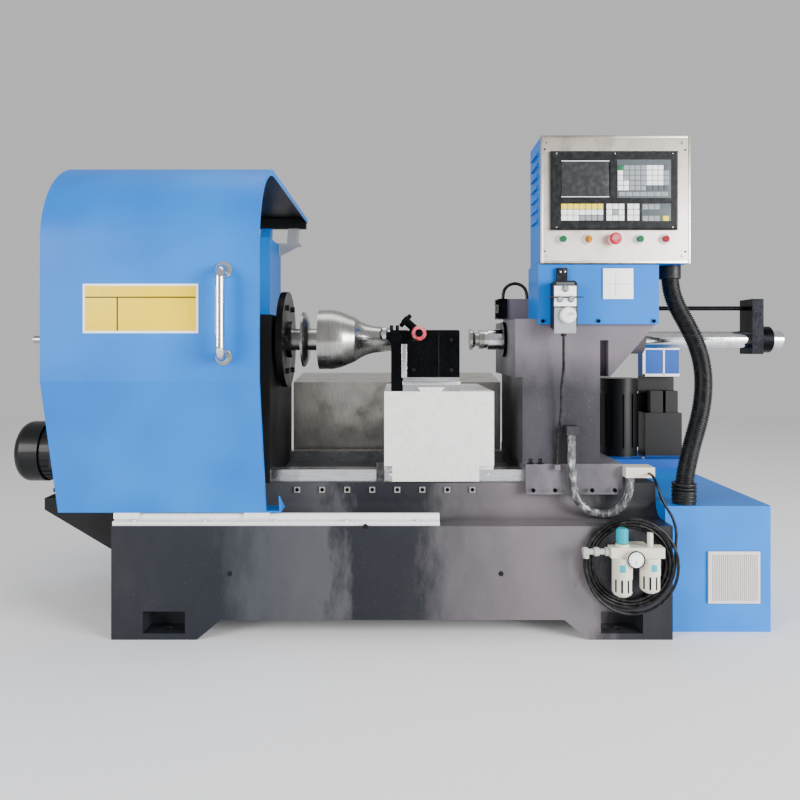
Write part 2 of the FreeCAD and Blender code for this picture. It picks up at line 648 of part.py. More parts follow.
def motor_body(y):
    """The finned barrel on its foot, with the terminal box on its front side."""
    parts = [rod("X", D.motor_r, D.motor_long, D.motor_left, y, D.motor_z)]
    for i in range(SIZES["fin_count"]):
        fin = box(0, -D.fin_thick / 2, D.motor_r - D.fin_root, D.motor_long * 0.8, D.fin_thick,
                  D.fin_high)
        turn = FreeCAD.Rotation(FreeCAD.Vector(1, 0, 0), 360 / SIZES["fin_count"] * i)
        parts.append(spun(fin, turn, D.motor_left + D.motor_long * 0.1, y, D.motor_z))
    start = D.motor_left + D.motor_long / 4
    parts.append(box(start, y - D.motor_foot_wide / 2, D.platform_top, D.motor_long * 0.68,
                     D.motor_foot_wide, D.motor_foot_thick))
    parts.append(box(start, y - D.motor_web_wide / 2, D.platform_top, D.motor_long * 0.6,
                     D.motor_web_wide, D.motor_z - D.motor_r - D.platform_top + D.cowl_round))
    parts.append(box(start + D.motor_foot_thick, y - D.motor_r - D.terminal_deep / 2,
                     D.motor_z - D.terminal_high / 2, D.terminal_long, D.terminal_deep,
                     D.terminal_high))
    deep = D.shaft_in + D.fin_thick
    eye = rod("X", D.motor_shaft_r + D.seat_gap, deep, D.motor_left + D.motor_long - deep, y,
              D.motor_z)
    return cut(fuse(*parts), eye)


def motor_cowl(y):
    """The rounded fan cover on the motor's far end."""
    rim, wall = D.cowl_left + D.cowl_round, D.cowl_wall
    end = D.cowl_left + D.cowl_long
    return turned("X", [
        (D.cowl_left, 0), (D.cowl_left, D.cowl_r - D.cowl_round, D.cowl_round, -1),
        (rim, D.cowl_r), (end, D.cowl_r), (end, D.cowl_r - wall), (rim, D.cowl_r - wall),
        (D.motor_left, D.cowl_r - 2.5 * wall), (D.motor_left, 0)], 0, y, D.motor_z)


def spun(item, rotation, x, y, z):
    """Carry a piece round a point, then to its place."""
    holder = doc.addObject("Part::Compound", "Turned")
    holder.Links = [item]
    holder.Placement = FreeCAD.Placement(FreeCAD.Vector(), rotation)
    return place(holder, x, y, z)


def guard():
    """The sheet of the sliding guard: one bent sheet, with lips at both ends and two feet."""
    walls = [guard_wall(D.guard_left, GUARD_LONG, D.guard_sheet),
             guard_wall(D.guard_right - D.guard_sheet, D.guard_sheet, D.guard_lip),
             guard_wall(D.guard_left, D.guard_sheet, D.guard_lip)]
    feet = [guard_foot(D.runner_first, D.foot_long),
            guard_foot(D.guard_right - D.foot_long, D.foot_long + D.foot_past)]
    node(fuse(*walls, *feet), "guard_shell")
    handle()
    runners()
    track()


def guard_foot(start, long):
    """A flat foot behind the sheet's lower edge, with an upright fin at its right end."""
    y, low = Y0 + D.guard_bottom_y + D.guard_sheet / 2, D.guard_bottom_z
    lean = (D.guard_bottom_y - D.guard_bend_y) / (D.guard_low_bend - D.guard_bottom_z)
    tread = box(start, y, low, long, D.foot_deep, D.guard_sheet)
    fin = prism("YZ", [(y, low), (y + D.foot_deep, low), (y - lean * D.foot_high, low + D.foot_high)],
                start + long - D.guard_sheet, D.guard_sheet)
    return fuse(tread, fin)


def guard_wall(start, long, thick):
    """The guard's bent outline with an inner wall that lies thick inside it."""
    y1, y2 = Y0 + D.guard_bottom_y, Y0 + D.guard_bend_y
    roof_y, back = Y0 + D.guard_roof_y, Y0 + D.guard_back_y
    inner_r = D.guard_arc_r - thick
    return prism("YZ", [
        (y1, D.guard_bottom_z), (y2, D.guard_low_bend),
        (y2, D.guard_high_bend, D.guard_arc_r, -1), (roof_y, D.guard_roof_z),
        (back, D.guard_roof_z), (back, D.guard_roof_z - thick),
        (roof_y, D.guard_roof_z - thick, inner_r, 1), (y2 + thick, D.guard_high_bend),
        (y2 + thick, D.guard_low_bend), (y1 + thick, D.guard_bottom_z)], start, long)


def handle():
    """A bent tube with a round flange at each foot."""
    face = Y0 + D.guard_bend_y
    x = number(D.handle_x)
    out = number(face - D.handle_out)
    feet = [number(D.handle_low), number(D.handle_high)]
    bend = SIZES["handle_bend"]
    route = [FreeCAD.Vector(x, number(face) - SIZES["handle_flange_thick"] / 2, feet[0]),
             FreeCAD.Vector(x, out, feet[0]), FreeCAD.Vector(x, out, feet[1]),
             FreeCAD.Vector(x, number(face) - SIZES["handle_flange_thick"] / 2, feet[1])]
    item = doc.addObject("Part::Feature", "Grip")
    item.Shape = swept(bent_wire(route, [bend, bend]), SIZES["handle_r"])
    flanges = [rod("Y", D.handle_flange_r, D.handle_flange_thick, D.handle_x,
                   face - D.handle_flange_thick, z) for z in (D.handle_low, D.handle_high)]
    node(fuse(item, *flanges), "guard_handle")


def runners():
    """Two bearing blocks on the shaft, open below where the shaft's web passes."""
    y = Y0 + D.guard_rail_y
    low = D.bed_high + D.runner_low + D.guard_base_high
    blocks = []
    for x in (D.runner_first, D.runner_second):
        block = box(x, y - D.runner_wide / 2, low, D.runner_long, D.runner_wide,
                    D.guard_bottom_z - low)
        bore = rod("X", D.guard_shaft_r + D.run_gap, D.runner_long, x, y, SHAFT_Z)
        slot = box(x, y - D.guard_web / 2 - D.slot_gap, D.bed_high, D.runner_long,
                   D.guard_web + 2 * D.slot_gap, D.guard_shaft_up)
        blocks.append(cut(block, bore, slot))
    node(group(*blocks), "guard_runners")


def track():
    """The channel under the roof's back edge, open below, that rides on the glides."""
    front = Y0 + D.guard_back_y - D.guard_sheet - D.track_deep
    top = D.guard_roof_z - D.guard_sheet
    long = GUARD_LONG - 2 * D.guard_sheet
    outer = box(D.guard_left + D.guard_sheet, front, top - D.track_high, long,
                D.track_deep, D.track_high)
    inner = box(D.guard_left, front + D.track_wall, top - D.track_high, GUARD_LONG,
                D.track_deep - 2 * D.track_wall, D.track_high - D.track_wall)
    node(cut(outer, inner), "guard_track")


def rear_cabinet():
    """The electrical cabinet behind the headstock, and the glides on top of it."""
    long = D.rear_cab_right - D.rear_cab_left
    back = BED_BACK + D.rear_cab_deep
    shell = box(D.rear_cab_left, BED_BACK, 0, long, D.rear_cab_deep, D.rear_cab_top)
    door = box(D.rear_cab_left + D.door_inset, back, 3 * D.door_inset,
               long - 2 * D.door_inset, D.door_proud, D.rear_cab_top - 4 * D.door_inset)
    toe = box(D.rear_cab_left, BED_BACK, 0, long, D.toe_deep, D.toe_high)
    track_y = Y0 + D.guard_back_y - D.guard_sheet - D.track_deep / 2
    track_low = D.guard_roof_z - D.guard_sheet - D.track_high
    roof = D.guard_roof_z - D.guard_sheet - D.track_wall - D.seat_gap
    start = D.stand_right - D.stand_long
    plate = box(start, back - D.stand_wide, D.rear_cab_top, D.stand_long, D.stand_wide,
                D.stand_thick)
    gusset = prism("XZ", [
        (D.rear_cab_right, D.rear_cab_top - D.gusset_drop), (D.stand_right, D.rear_cab_top),
        (D.rear_cab_right, D.rear_cab_top)], back - D.stand_wide, D.stand_wide / 2)
    near, far = track_y - D.glide_wide / 2, track_y + D.glide_wide / 2
    arms = []
    for i in range(2):
        arms.append(prism("YZ", [
            (back - D.stand_wide, D.rear_cab_top), (back, D.rear_cab_top),
            (far, D.rear_cab_top + D.stand_wide), (far, roof), (near, roof),
            (near, track_low - D.stand_thick), (back - D.stand_wide / 2, track_low - D.stand_thick)],
            D.glide_first + i * D.glide_pitch - D.glide_long / 2, D.glide_long))
    node(group(cut(fuse(shell, door), toe), fuse(plate, gusset, *arms)), "rear_cabinet")


def way_cover():
    """A folded stainless sheet that stands on the bed behind the saddle."""
    y1, y2 = Y0 + D.cover_y, Y0 + D.cover_back_y
    thick = D.cover_sheet
    node(prism("YZ", [
        (y1, WAY_TOP), (y1, D.cover_bend_z), (y2, D.cover_back_z),
        (y2, D.cover_back_z - D.cover_hem), (y2 - thick, D.cover_back_z - D.cover_hem),
        (y2 - thick, D.cover_back_z - thick), (y1 + thick, D.cover_bend_z - thick),
        (y1 + thick, WAY_TOP + thick), (BED_BACK, WAY_TOP + thick), (BED_BACK, WAY_TOP)],
        D.seat_gap - D.rail_half, 2 * D.rail_half - 2 * D.seat_gap), "rear_way_cover")


def saddle():
    back = Y0 + D.saddle_back
    front = WAY_FRONT + D.apron_thick
    body = prism("YZ", [
        (front, D.saddle_skirt_z), (front, D.saddle_top), (back, D.saddle_top),
        (back, RAIL_TOP + D.seat_gap), (RAIL_Y, RAIL_TOP + D.seat_gap),
        (RAIL_Y, D.saddle_skirt_z)], D.saddle_left, D.saddle_long)
    way_x = D.slide_left + (D.slide_wide - D.dovetail_wide) / 2
    way = dovetail(way_x, front, back - front, 0)
    keel = box(D.saddle_left, RAIL_Y + D.rail_wide + D.wheel_gap, WAY_TOP + D.wheel_gap,
               D.saddle_long, D.rail_span - D.rail_wide - 2 * D.wheel_gap, D.rail_high + 1)
    node(fuse(body, way, keel), "saddle_casting")
    upper = box(D.saddle_left, WAY_FRONT, D.saddle_skirt_z, D.saddle_long, D.apron_thick,
                D.saddle_top - D.saddle_skirt_z)
    lower = box(D.saddle_left + D.apron_low_in, WAY_FRONT, D.apron_low_z, D.apron_low_long,
                D.apron_thick, D.saddle_skirt_z - D.apron_low_z)
    node(fuse(upper, lower), "saddle_apron")
    low, wall = WAY_TOP + D.wheel_gap, D.wiper_wall
    near, far = RAIL_Y - D.seat_gap, RAIL_Y + D.rail_wide + D.seat_gap
    lid = RAIL_TOP + D.seat_gap
    node(prism("YZ", [
        (WAY_FRONT, low), (WAY_FRONT, D.wiper_top), (far + wall, D.wiper_top), (far + wall, low),
        (far, low), (far, lid), (near, lid), (near, low)],
        D.saddle_left - D.wiper_thick, D.wiper_thick), "way_wiper")


def dovetail(x, y, deep, gap):
    """The tapered way that guides the cross slide, larger by the gap for its groove."""
    low, high = D.saddle_top, D.saddle_top + D.dovetail_high + gap
    return prism("XZ", [
        (x + D.dovetail_lean - gap, low), (x - gap, high),
        (x + D.dovetail_wide + gap, high),
        (x + D.dovetail_wide - D.dovetail_lean + gap, low)], y, deep)


def cross_slide():
    front = Y0 + D.slide_front
    way_x = D.slide_left + (D.slide_wide - D.dovetail_wide) / 2
    plate = box(D.slide_left, front, D.saddle_top + D.seat_gap, D.slide_wide, D.slide_deep,
                D.slide_high - D.seat_gap)
    node(cut(plate, dovetail(way_x, front, D.slide_deep, D.seat_gap)), "cross_slide")


HEAD_LOW = D.saddle_top + D.slide_high
TOOL_FRONT = Y0 + D.tool_front
POST_RIGHT = D.tool_left


def tool_block():
    wide = D.slide_left + D.slide_wide - D.tool_left
    block = box(D.tool_left, TOOL_FRONT, HEAD_LOW, wide, D.tool_deep, D.tool_high)
    edged = chamfer(block, D.tool_chamfer, seen_edges("Y", z_over=HEAD_LOW + D.tool_high))
    start = TOOL_FRONT - D.nylon_wide - D.cap_thick
    pin = rod("Y", D.pin_r, D.nylon_wide + D.cap_thick, D.nylon_x, start, D.nylon_z)
    head = rod("Y", 1.6 * D.pin_r, D.cap_thick, D.nylon_x, start, D.nylon_z)
    stalk, trim_wheel = tilted_wheel()
    node(fuse(edged, pin, head, stalk), "tool_block")
    node(trim_wheel, "trim_wheel")
    node(wheel("Y", D.nylon_r, D.nylon_wide - 2 * D.wheel_gap, D.nylon_x,
               TOOL_FRONT - D.nylon_wide + D.wheel_gap, D.nylon_z), "nylon_wheel")


def wheel(axis, radius, wide, x, y, z):
    """A crowned wheel with a running bore, from its near face along its axis."""
    crown = radius - wide / 6
    bore = D.pin_r + D.run_gap
    corners = [(0, bore), (0, crown), (wide / 4, radius), (wide * 0.75, radius),
               (wide, crown), (wide, bore)]
    return turned(axis, corners, x, y, z)


def roller_post():
    """The post beside the block, with the round arm that carries the forming roller."""
    front = Y0 + D.post_front
    wide = POST_RIGHT - D.post_left
    post = box(D.post_left, front, HEAD_LOW, wide, D.post_deep, D.post_high)
    rib = box(D.post_left + D.post_rib_in, front - D.post_rib_proud, HEAD_LOW,
              D.post_rib_wide, D.post_rib_proud, D.post_high * 0.8)
    foot = box(D.post_left, front, D.saddle_top + D.seat_gap, D.slide_left - D.post_left,
               D.post_deep, D.slide_high - D.seat_gap)
    arm = rod("Y", D.arm_r, D.post_deep + D.arm_proud, D.arm_x, front - D.arm_proud, D.arm_z)
    bolts = []
    for x in (D.arm_x - D.arm_r / 2, D.arm_x + D.arm_r / 3):
        bolts.append(rod("Z", D.arm_bolt_r, D.arm_r + D.arm_bolt_high, x, front + D.arm_r,
                         D.arm_z + D.arm_bolt_high))
    y = Y0 + D.forming_y
    left = D.arm_x - D.arm_r - D.forming_wide - D.cap_thick
    pin = rod("X", D.pin_r, D.post_left - left + D.pin_r, left, y, D.forming_z)
    cap = rod("X", 1.5 * D.pin_r, D.cap_thick, left, y, D.forming_z)
    node(fuse(post, rib, foot, arm, pin, cap, *bolts), "roller_post")
    node(wheel("X", D.forming_r, D.forming_wide - 2 * D.wheel_gap,
               left + D.cap_thick + D.wheel_gap, y, D.forming_z), "forming_roller")


def tilted_wheel():
    """The trimming wheel, with its axis leaning up and back, on a stalk from the block."""
    lean = FreeCAD.Rotation(FreeCAD.Vector(0, 1, 0), SIZES["trim_lean"])
    y, head = Y0 + D.trim_y, D.cap_thick
    disc = wheel("X", D.trim_r, D.trim_wide, 0, 0, 0)
    pin = rod("X", D.pin_r, D.trim_wide + D.stalk_long, -head, 0, 0)
    cap = rod("X", 1.5 * D.pin_r, head - D.wheel_gap, -head, 0, 0)
    start = D.trim_wide + D.wheel_gap
    shoulder = rod("X", 1.7 * D.pin_r, D.stalk_long - D.pin_r / 2 - D.wheel_gap, start, 0, 0)
    stalk = spun(fuse(pin, cap, shoulder), lean, D.trim_x, y, D.trim_z)
    return stalk, spun(disc, lean, D.trim_x, y, D.trim_z)


TAIL_FRONT = Y0 + D.tail_front
TAIL_RIGHT = D.tail_left + D.tail_long
TAIL_TOP = WAY_TOP + D.tail_base_high
AXIS_SLEEVE = D.sleeve_right - D.gland_thick


def tailstock():
    base = prism("YZ", [
        (TAIL_FRONT, WAY_TOP - D.tail_skirt), (WAY_FRONT, WAY_TOP - D.tail_skirt),
        (WAY_FRONT, WAY_TOP), (TAIL_FRONT + D.tail_deep, WAY_TOP),
        (TAIL_FRONT + D.tail_deep, TAIL_TOP), (TAIL_FRONT, TAIL_TOP)],
        D.tail_left, D.tail_long)
    screws = []
    for i in range(4):
        screws.append(rod("Y", D.tail_screw_r, D.tail_screw_r,
                          D.tail_screw_first + i * D.tail_screw_pitch,
                          TAIL_FRONT - D.tail_screw_r / 2,
                          WAY_TOP - D.tail_skirt + D.tail_screw_up))
    gland = box(D.lead_gland_x - D.lead_gland_r, TAIL_FRONT - 2 * D.lead_gland_r,
                TAIL_TOP - 2 * D.lead_gland_r, 2 * D.lead_gland_r, 2 * D.lead_gland_r,
                2 * D.lead_gland_r)
    node(fuse(base, gland, *screws), "tailstock_base")
    node(tail_body(), "tailstock_body")
    collar()
    quill()


def tail_body():
    """The column with the cylinder housing on it, bored for the quill and the guide rod."""
    column_right = D.column_left + D.column_long
    column = prism("XZ", [
        (D.column_left, TAIL_TOP), (column_right, TAIL_TOP), (column_right, D.house_bottom),
        (D.house_slope_x, D.house_bottom), (D.house_right, D.house_top),
        (D.house_left, D.house_top), (D.house_left, D.house_bottom),
        (D.column_left, D.house_bottom)], TAIL_FRONT, D.column_deep)
    sleeve = rod("X", D.sleeve_r, D.sleeve_right - D.sleeve_left, D.sleeve_left, AXIS_Y, D.axis_z)
    boss = box(D.house_left, Y0 + D.boss_front, D.house_top, D.boss_right - D.house_left,
               D.boss_deep, D.boss_top - D.house_top)
    bore = rod("X", D.quill_r + D.run_gap, AXIS_SLEEVE - D.house_left, D.house_left,
               AXIS_Y, D.axis_z)
    bar_hole = rod("X", D.bar_r + D.run_gap, D.gland_thick, AXIS_SLEEVE, AXIS_Y, D.axis_z)
    rod_hole = rod("X", D.rod_r + D.run_gap, D.boss_right - D.house_left, D.house_left,
                   AXIS_Y, D.rod_z)
    slot = box(column_right, TAIL_FRONT, D.tail_slot_low, D.tail_slot_wide, D.tail_slot_deep,
               D.tail_slot_high)
    gland = box(D.gland_x - D.gland_wide / 2, TAIL_FRONT - D.gland_out, D.gland_low,
                D.gland_wide, D.gland_out, D.gland_high)
    return cut(fuse(column, sleeve, boss, gland), bore, bar_hole, rod_hole, slot)


def collar():
    """The ring round the quill's mouth, and the clamp plate of the guide rod above it."""
    x = D.house_left - D.collar_thick
    ring = rod("X", D.collar_r, D.collar_thick, x, AXIS_Y, D.axis_z)
    eye = rod("X", D.quill_r + D.run_gap, D.collar_thick, x, AXIS_Y, D.axis_z)
    plate = box(D.nose_left, Y0 + D.boss_front - D.arm_proud, D.house_top + D.nose_bolt_r,
                D.nose_thick, D.boss_deep + D.arm_proud, D.boss_top - D.house_top - D.nose_bolt_r)
    hole = rod("X", D.rod_r + D.run_gap, D.nose_thick, D.nose_left, AXIS_Y, D.rod_z)
    bolts = []
    for z in (D.house_top + 2.2 * D.nose_bolt_r, D.boss_top - 1.3 * D.nose_bolt_r):
        bolts.append(rod("X", D.nose_bolt_r, D.nose_bolt_r, D.nose_left - D.nose_bolt_r,
                         Y0 + D.boss_front + D.nose_bolt_r, z))
    node(group(cut(ring, eye), cut(fuse(plate, *bolts), hole)), "quill_collar")


def quill():
    neck, edge = D.quill_left + D.quill_neck, D.quill_bevel
    depth = D.centre_shank_right + D.wheel_gap
    node(turned("X", [
        (D.quill_left, D.centre_shank_r + D.run_gap), (D.quill_left, D.quill_r - D.quill_neck / 2),
        (neck, D.quill_r - D.quill_neck / 2), (neck, D.quill_r), (D.quill_step, D.quill_r),
        (D.quill_step, D.bar_r), (D.bar_right - edge, D.bar_r), (D.bar_right, D.bar_r - edge),
        (D.bar_right, 0), (depth, 0), (depth, D.centre_shank_r + D.run_gap)],
        0, AXIS_Y, D.axis_z), "tailstock_quill")
    left, rim, waist = D.centre_left, D.centre_rim, D.centre_r * 0.66
    shoulder = left + D.centre_waist
    node(turned("X", [
        (left, 0), (left, D.centre_r), (left + rim, D.centre_r), (left + 2.2 * rim, waist),
        (shoulder, waist), (shoulder, D.centre_r * 0.9),
        (D.quill_left - D.wheel_gap, D.centre_r * 0.9),
        (D.quill_left - D.wheel_gap, D.centre_shank_r), (D.centre_shank_right, D.centre_shank_r),
        (D.centre_shank_right, 0)], 0, AXIS_Y, D.axis_z), "live_centre")
    quill_bracket()


def quill_bracket():
    """The plate on the bar's far end, and the guide rod that keeps the bar from turning."""
    left = D.bar_right - D.bracket_in
    high = D.rod_z + D.bracket_wide / 3 - D.bracket_low
    half = D.bracket_wide / 2
    plate = box(left, AXIS_Y - half, D.bracket_low, D.bracket_thick / 2, D.bracket_wide, high)
    lug = rod("X", half, D.bracket_thick, left, AXIS_Y, D.axis_z)
    eye = rod("X", D.bar_r + D.seat_gap / 3, D.bracket_thick, left, AXIS_Y, D.axis_z)
    guide = rod("X", D.rod_r, left + D.rod_past - D.rod_left, D.rod_left, AXIS_Y, D.rod_z)
    nut = rod("X", 1.8 * D.rod_r, D.rod_r, left + D.bracket_thick / 2, AXIS_Y, D.rod_z)
    node(fuse(cut(fuse(plate, lug), eye), guide, nut), "quill_bracket")


BOX_FRONT = Y0 + D.pedestal_front
PANEL_FACE = BOX_FRONT - D.plate_thin
CNC_FACE = PANEL_FACE - D.cnc_proud


def control_box():
    skirt = D.house_top - D.pedestal_skirt
    body = box(D.pedestal_left, BOX_FRONT, D.house_top, D.pedestal_long, D.pedestal_deep,
               D.box_low - D.house_top)
    lip = box(D.pedestal_left, BOX_FRONT, skirt, D.pedestal_long, D.tail_front - D.pedestal_front,
              D.pedestal_skirt)
    screws = []
    for i in range(3):
        screws.append(rod("Y", D.tail_screw_r, 3, D.pedestal_left + D.pedestal_skirt +
                          i * (D.pedestal_long / 2 - D.pedestal_skirt), BOX_FRONT - 3,
                          D.house_top - D.pedestal_skirt / 4))
    node(fuse(body, lip, *screws), "control_pedestal")
    shell = box(D.box_left, BOX_FRONT, D.box_low, D.box_long, D.pedestal_deep, D.box_high)
    edged = chamfer(shell, D.box_chamfer, seen_edges("Y"))
    slots = []
    for side in (0, 1):
        for i in range(SIZES["louvre_count"]):
            slots.append(louvre(side, D.louvre_first + i * D.louvre_pitch))
    stems = [button_hole(i) for i in range(len(BUTTONS))]
    node(cut(fuse(edged, *slots), *stems), "control_box")
    panel()


def louvre(side, z):
    """A pressed air slot: a wedge that stands out of the box's side, open below."""
    x = D.box_left + side * D.box_long
    out = D.louvre_proud * (2 * side - 1)
    return prism("XZ", [(x, z), (x + out, z), (x, z + 2 * D.louvre_proud)],
                 BOX_FRONT + (D.pedestal_deep - D.louvre_long) / 2, D.louvre_long)


BUTTONS = ["start_button", "mode_selector", "emergency_stop", "clamp_button", "release_button"]


def button_x(i):
    """The buttons share the box's width evenly between their two outer ones."""
    span = D.box_long - D.button_in_left - D.button_in_right
    return D.box_left + D.button_in_left + span * i / (len(BUTTONS) - 1)


def button_hole(i):
    return rod("Y", D.button_hole, D.stem_deep + D.plate_thin + 6, button_x(i),
               PANEL_FACE - 1, D.button_z)


def panel():
    """The stainless front plate with its corner screws and the rings of the buttons."""
    margin = D.plate_margin
    low, high = D.box_low + margin, D.box_low + D.box_high - margin
    left, right = D.box_left + margin, D.box_left + D.box_long - margin
    plate = box(left, PANEL_FACE, low, right - left, D.plate_thin, high - low)
    screws = []
    for x in (left + D.plate_screw_in, right - D.plate_screw_in):
        for z in (low + D.plate_screw_in, high - D.plate_screw_in):
            screws.append(rod("Y", D.plate_screw_r, 3, x, PANEL_FACE - 3, z))
    rings, holes = [], []
    for i in range(len(BUTTONS)):
        front = PANEL_FACE - D.button_ring_proud
        rings.append(rod("Y", D.button_ring_r, D.button_ring_proud, button_x(i), front,
                         D.button_z))
        holes.append(rod("Y", D.button_r + D.seat_gap, D.button_ring_proud, button_x(i), front,
                         D.button_z))
        holes.append(rod("Y", D.button_hole, D.stem_deep, button_x(i),
                         PANEL_FACE - D.stem_deep / 2, D.button_z))
    node(cut(fuse(plate, *screws, *rings), *holes), "panel_plate")
    bezel = box(D.cnc_left, CNC_FACE, D.cnc_low, D.cnc_wide, D.cnc_proud, D.cnc_high)
    edged = chamfer(bezel, D.screen_deep, lambda e: runs_along(e, "X") or runs_along(e, "Z")
                    if e.BoundBox.Center.y < number(CNC_FACE) + 1 else False)
    screen = box(D.screen_left, CNC_FACE, D.screen_low, D.screen_wide, D.screen_deep,
                 D.screen_high)
    node(cut(edged, screen), "cnc_unit")
    keys = pad_of_keys(D.upper_left, D.upper_low, D.upper_wide, D.upper_high,
                       SIZES["upper_cols"], SIZES["upper_rows"])
    keys += pad_of_keys(D.lower_left, D.lower_low, D.lower_wide, D.lower_high,
                        SIZES["lower_cols"], SIZES["lower_rows"])
    node(group(*keys), "cnc_keys")
    buttons()


def pad_of_keys(left, low, wide, high, columns, rows):
    step_x, step_z = wide / columns, high / rows
    keys = []
    for column in range(columns):
        for row in range(rows):
            keys.append(box(left + column * step_x + D.key_gap / 2, CNC_FACE - D.key_proud,
                            low + row * step_z + D.key_gap / 2, step_x - D.key_gap,
                            D.key_proud, step_z - D.key_gap))
    return keys


def buttons():
    """Five operators on one row. Each stem runs in its hole with the same clearance."""
    face = PANEL_FACE - D.button_ring_proud
    seat = face + D.button_seat
    for i, label in enumerate(BUTTONS):
        x = button_x(i)
        stem = rod("Y", D.button_hole - D.seat_gap, D.stem_deep - D.button_hole, x, face,
                   D.button_z)
        node(fuse(stem, *operator(label, x, face, seat)), label)


def operator(label, x, face, seat):
    """What the hand meets: a mushroom head, a bar on a hub, or a plain cap."""
    if label == "emergency_stop":
        long = D.stop_proud - D.stop_dome + D.stop_neck_gap
        neck = rod("Y", D.button_r, long, x, face - D.stop_neck_gap - long, D.button_z)
        dome = turned("Y", [(0, 0), (0, D.stop_r - D.stop_round), (D.stop_round, D.stop_r),
                            (D.stop_dome, D.stop_r), (D.stop_dome, 0)],
                      x, face - D.stop_proud, D.button_z)
        return [neck, dome]
    if label == "mode_selector":
        hub = rod("Y", D.button_r, D.button_proud / 2 + D.button_seat, x,
                  face - D.button_proud / 2, D.button_z)
        grip = box(x - D.selector_wide / 2, face - D.button_proud,
                   D.button_z - D.selector_long / 2, D.selector_wide, D.button_proud,
                   D.selector_long)
        return [hub, grip]
    long = D.button_proud + D.button_seat
    return [turned("Y", [(0, 0), (0, D.button_r - D.cap_round), (D.cap_round, D.button_r),
                         (long, D.button_r), (long, 0)], x, seat - long, D.button_z)]


def pendant():
    """The hand pulse box that hangs on a hook of the pedestal."""
    back = BOX_FRONT
    front = back - D.hook_thick - D.pendant_deep
    shell = box(D.pendant_left, front, D.pendant_low, D.pendant_wide, D.pendant_deep,
                D.pendant_high)
    edged = chamfer(shell, D.knob_small_r, seen_edges("Y"))
    middle = D.pendant_left + D.pendant_wide / 2
    top = D.pendant_low + D.pendant_high
    hook = box(middle - D.hook_wide / 2, back - D.hook_thick, top - D.hook_high, D.hook_wide,
               D.hook_thick, 2 * D.hook_high)
    pin_hole = rod("Y", D.wheel_pin_r + D.run_gap, D.pendant_deep / 2, D.wheel_x, front,
                   D.wheel_z)
    knobs = []
    for across, up in ((-1, 2), (1, 2), (0, 3.3)):
        knobs.append(rod("Y", D.knob_small_r, D.knob_small_proud,
                         middle + across * D.wheel_r * 0.7, front - D.knob_small_proud,
                         D.wheel_z + up * D.wheel_r))
    gland = rod("Z", D.lead_gland_r, D.strain_relief, middle,
                back - D.hook_thick - D.pendant_deep / 2, D.pendant_low - D.strain_relief)
    node(cut(fuse(edged, hook, gland, *knobs), pin_hole), "pendant_box")
    hand_wheel(front - D.wheel_thick - D.seat_gap)


def hand_wheel(y):
    """The jog wheel with its crank knob and the pin that runs in the pendant."""
    rim = turned("Y", [(0, 0), (0, D.wheel_r - D.crank_r), (D.crank_r, D.wheel_r),
                       (D.wheel_thick, D.wheel_r), (D.wheel_thick, 0)], D.wheel_x, y, D.wheel_z)
    crank = rod("Y", D.crank_r, D.crank_long, D.wheel_x + D.wheel_r * 0.6, y - D.crank_long,
                D.wheel_z + D.crank_r)
    pin = rod("Y", D.wheel_pin_r, D.wheel_thick + D.pendant_deep / 3, D.wheel_x, y, D.wheel_z)
    node(fuse(rim, crank, pin), "hand_wheel")


CAB_FRONT = Y0 + D.cab_front
CAB_BACK = CAB_FRONT + D.cab_deep


def right_cabinet():
    """The cabinet against the bed's right end, with the slatted outlet of its fan."""
    shell = box(D.bed_right, CAB_FRONT, 0, D.cab_right - D.bed_right, D.cab_deep, D.cab_high)
    edged = chamfer(shell, D.cab_chamfer, seen_edges("Z", x_over=D.cab_right))
    node(edged, "electrical_cabinet")
    frame = D.vent_frame
    inner = D.vent_size - 2 * frame
    back = box(D.vent_left, CAB_FRONT - D.vent_back, D.vent_low, D.vent_size, D.vent_back,
               D.vent_size)
    outer = box(D.vent_left, CAB_FRONT - D.vent_proud, D.vent_low, D.vent_size,
                D.vent_proud - D.vent_back, D.vent_size)
    window = box(D.vent_left + frame, CAB_FRONT - D.vent_proud, D.vent_low + frame, inner,
                 D.vent_proud - D.vent_back, inner)
    pitch = inner / SIZES["vent_slats"]
    slats = []
    for i in range(SIZES["vent_slats"]):
        slats.append(box(D.vent_left + frame + i * pitch, CAB_FRONT - D.vent_proud,
                         D.vent_low + frame, pitch / 2, D.vent_proud - D.vent_back, inner))
    node(fuse(back, cut(outer, window), *slats), "vent_grille")


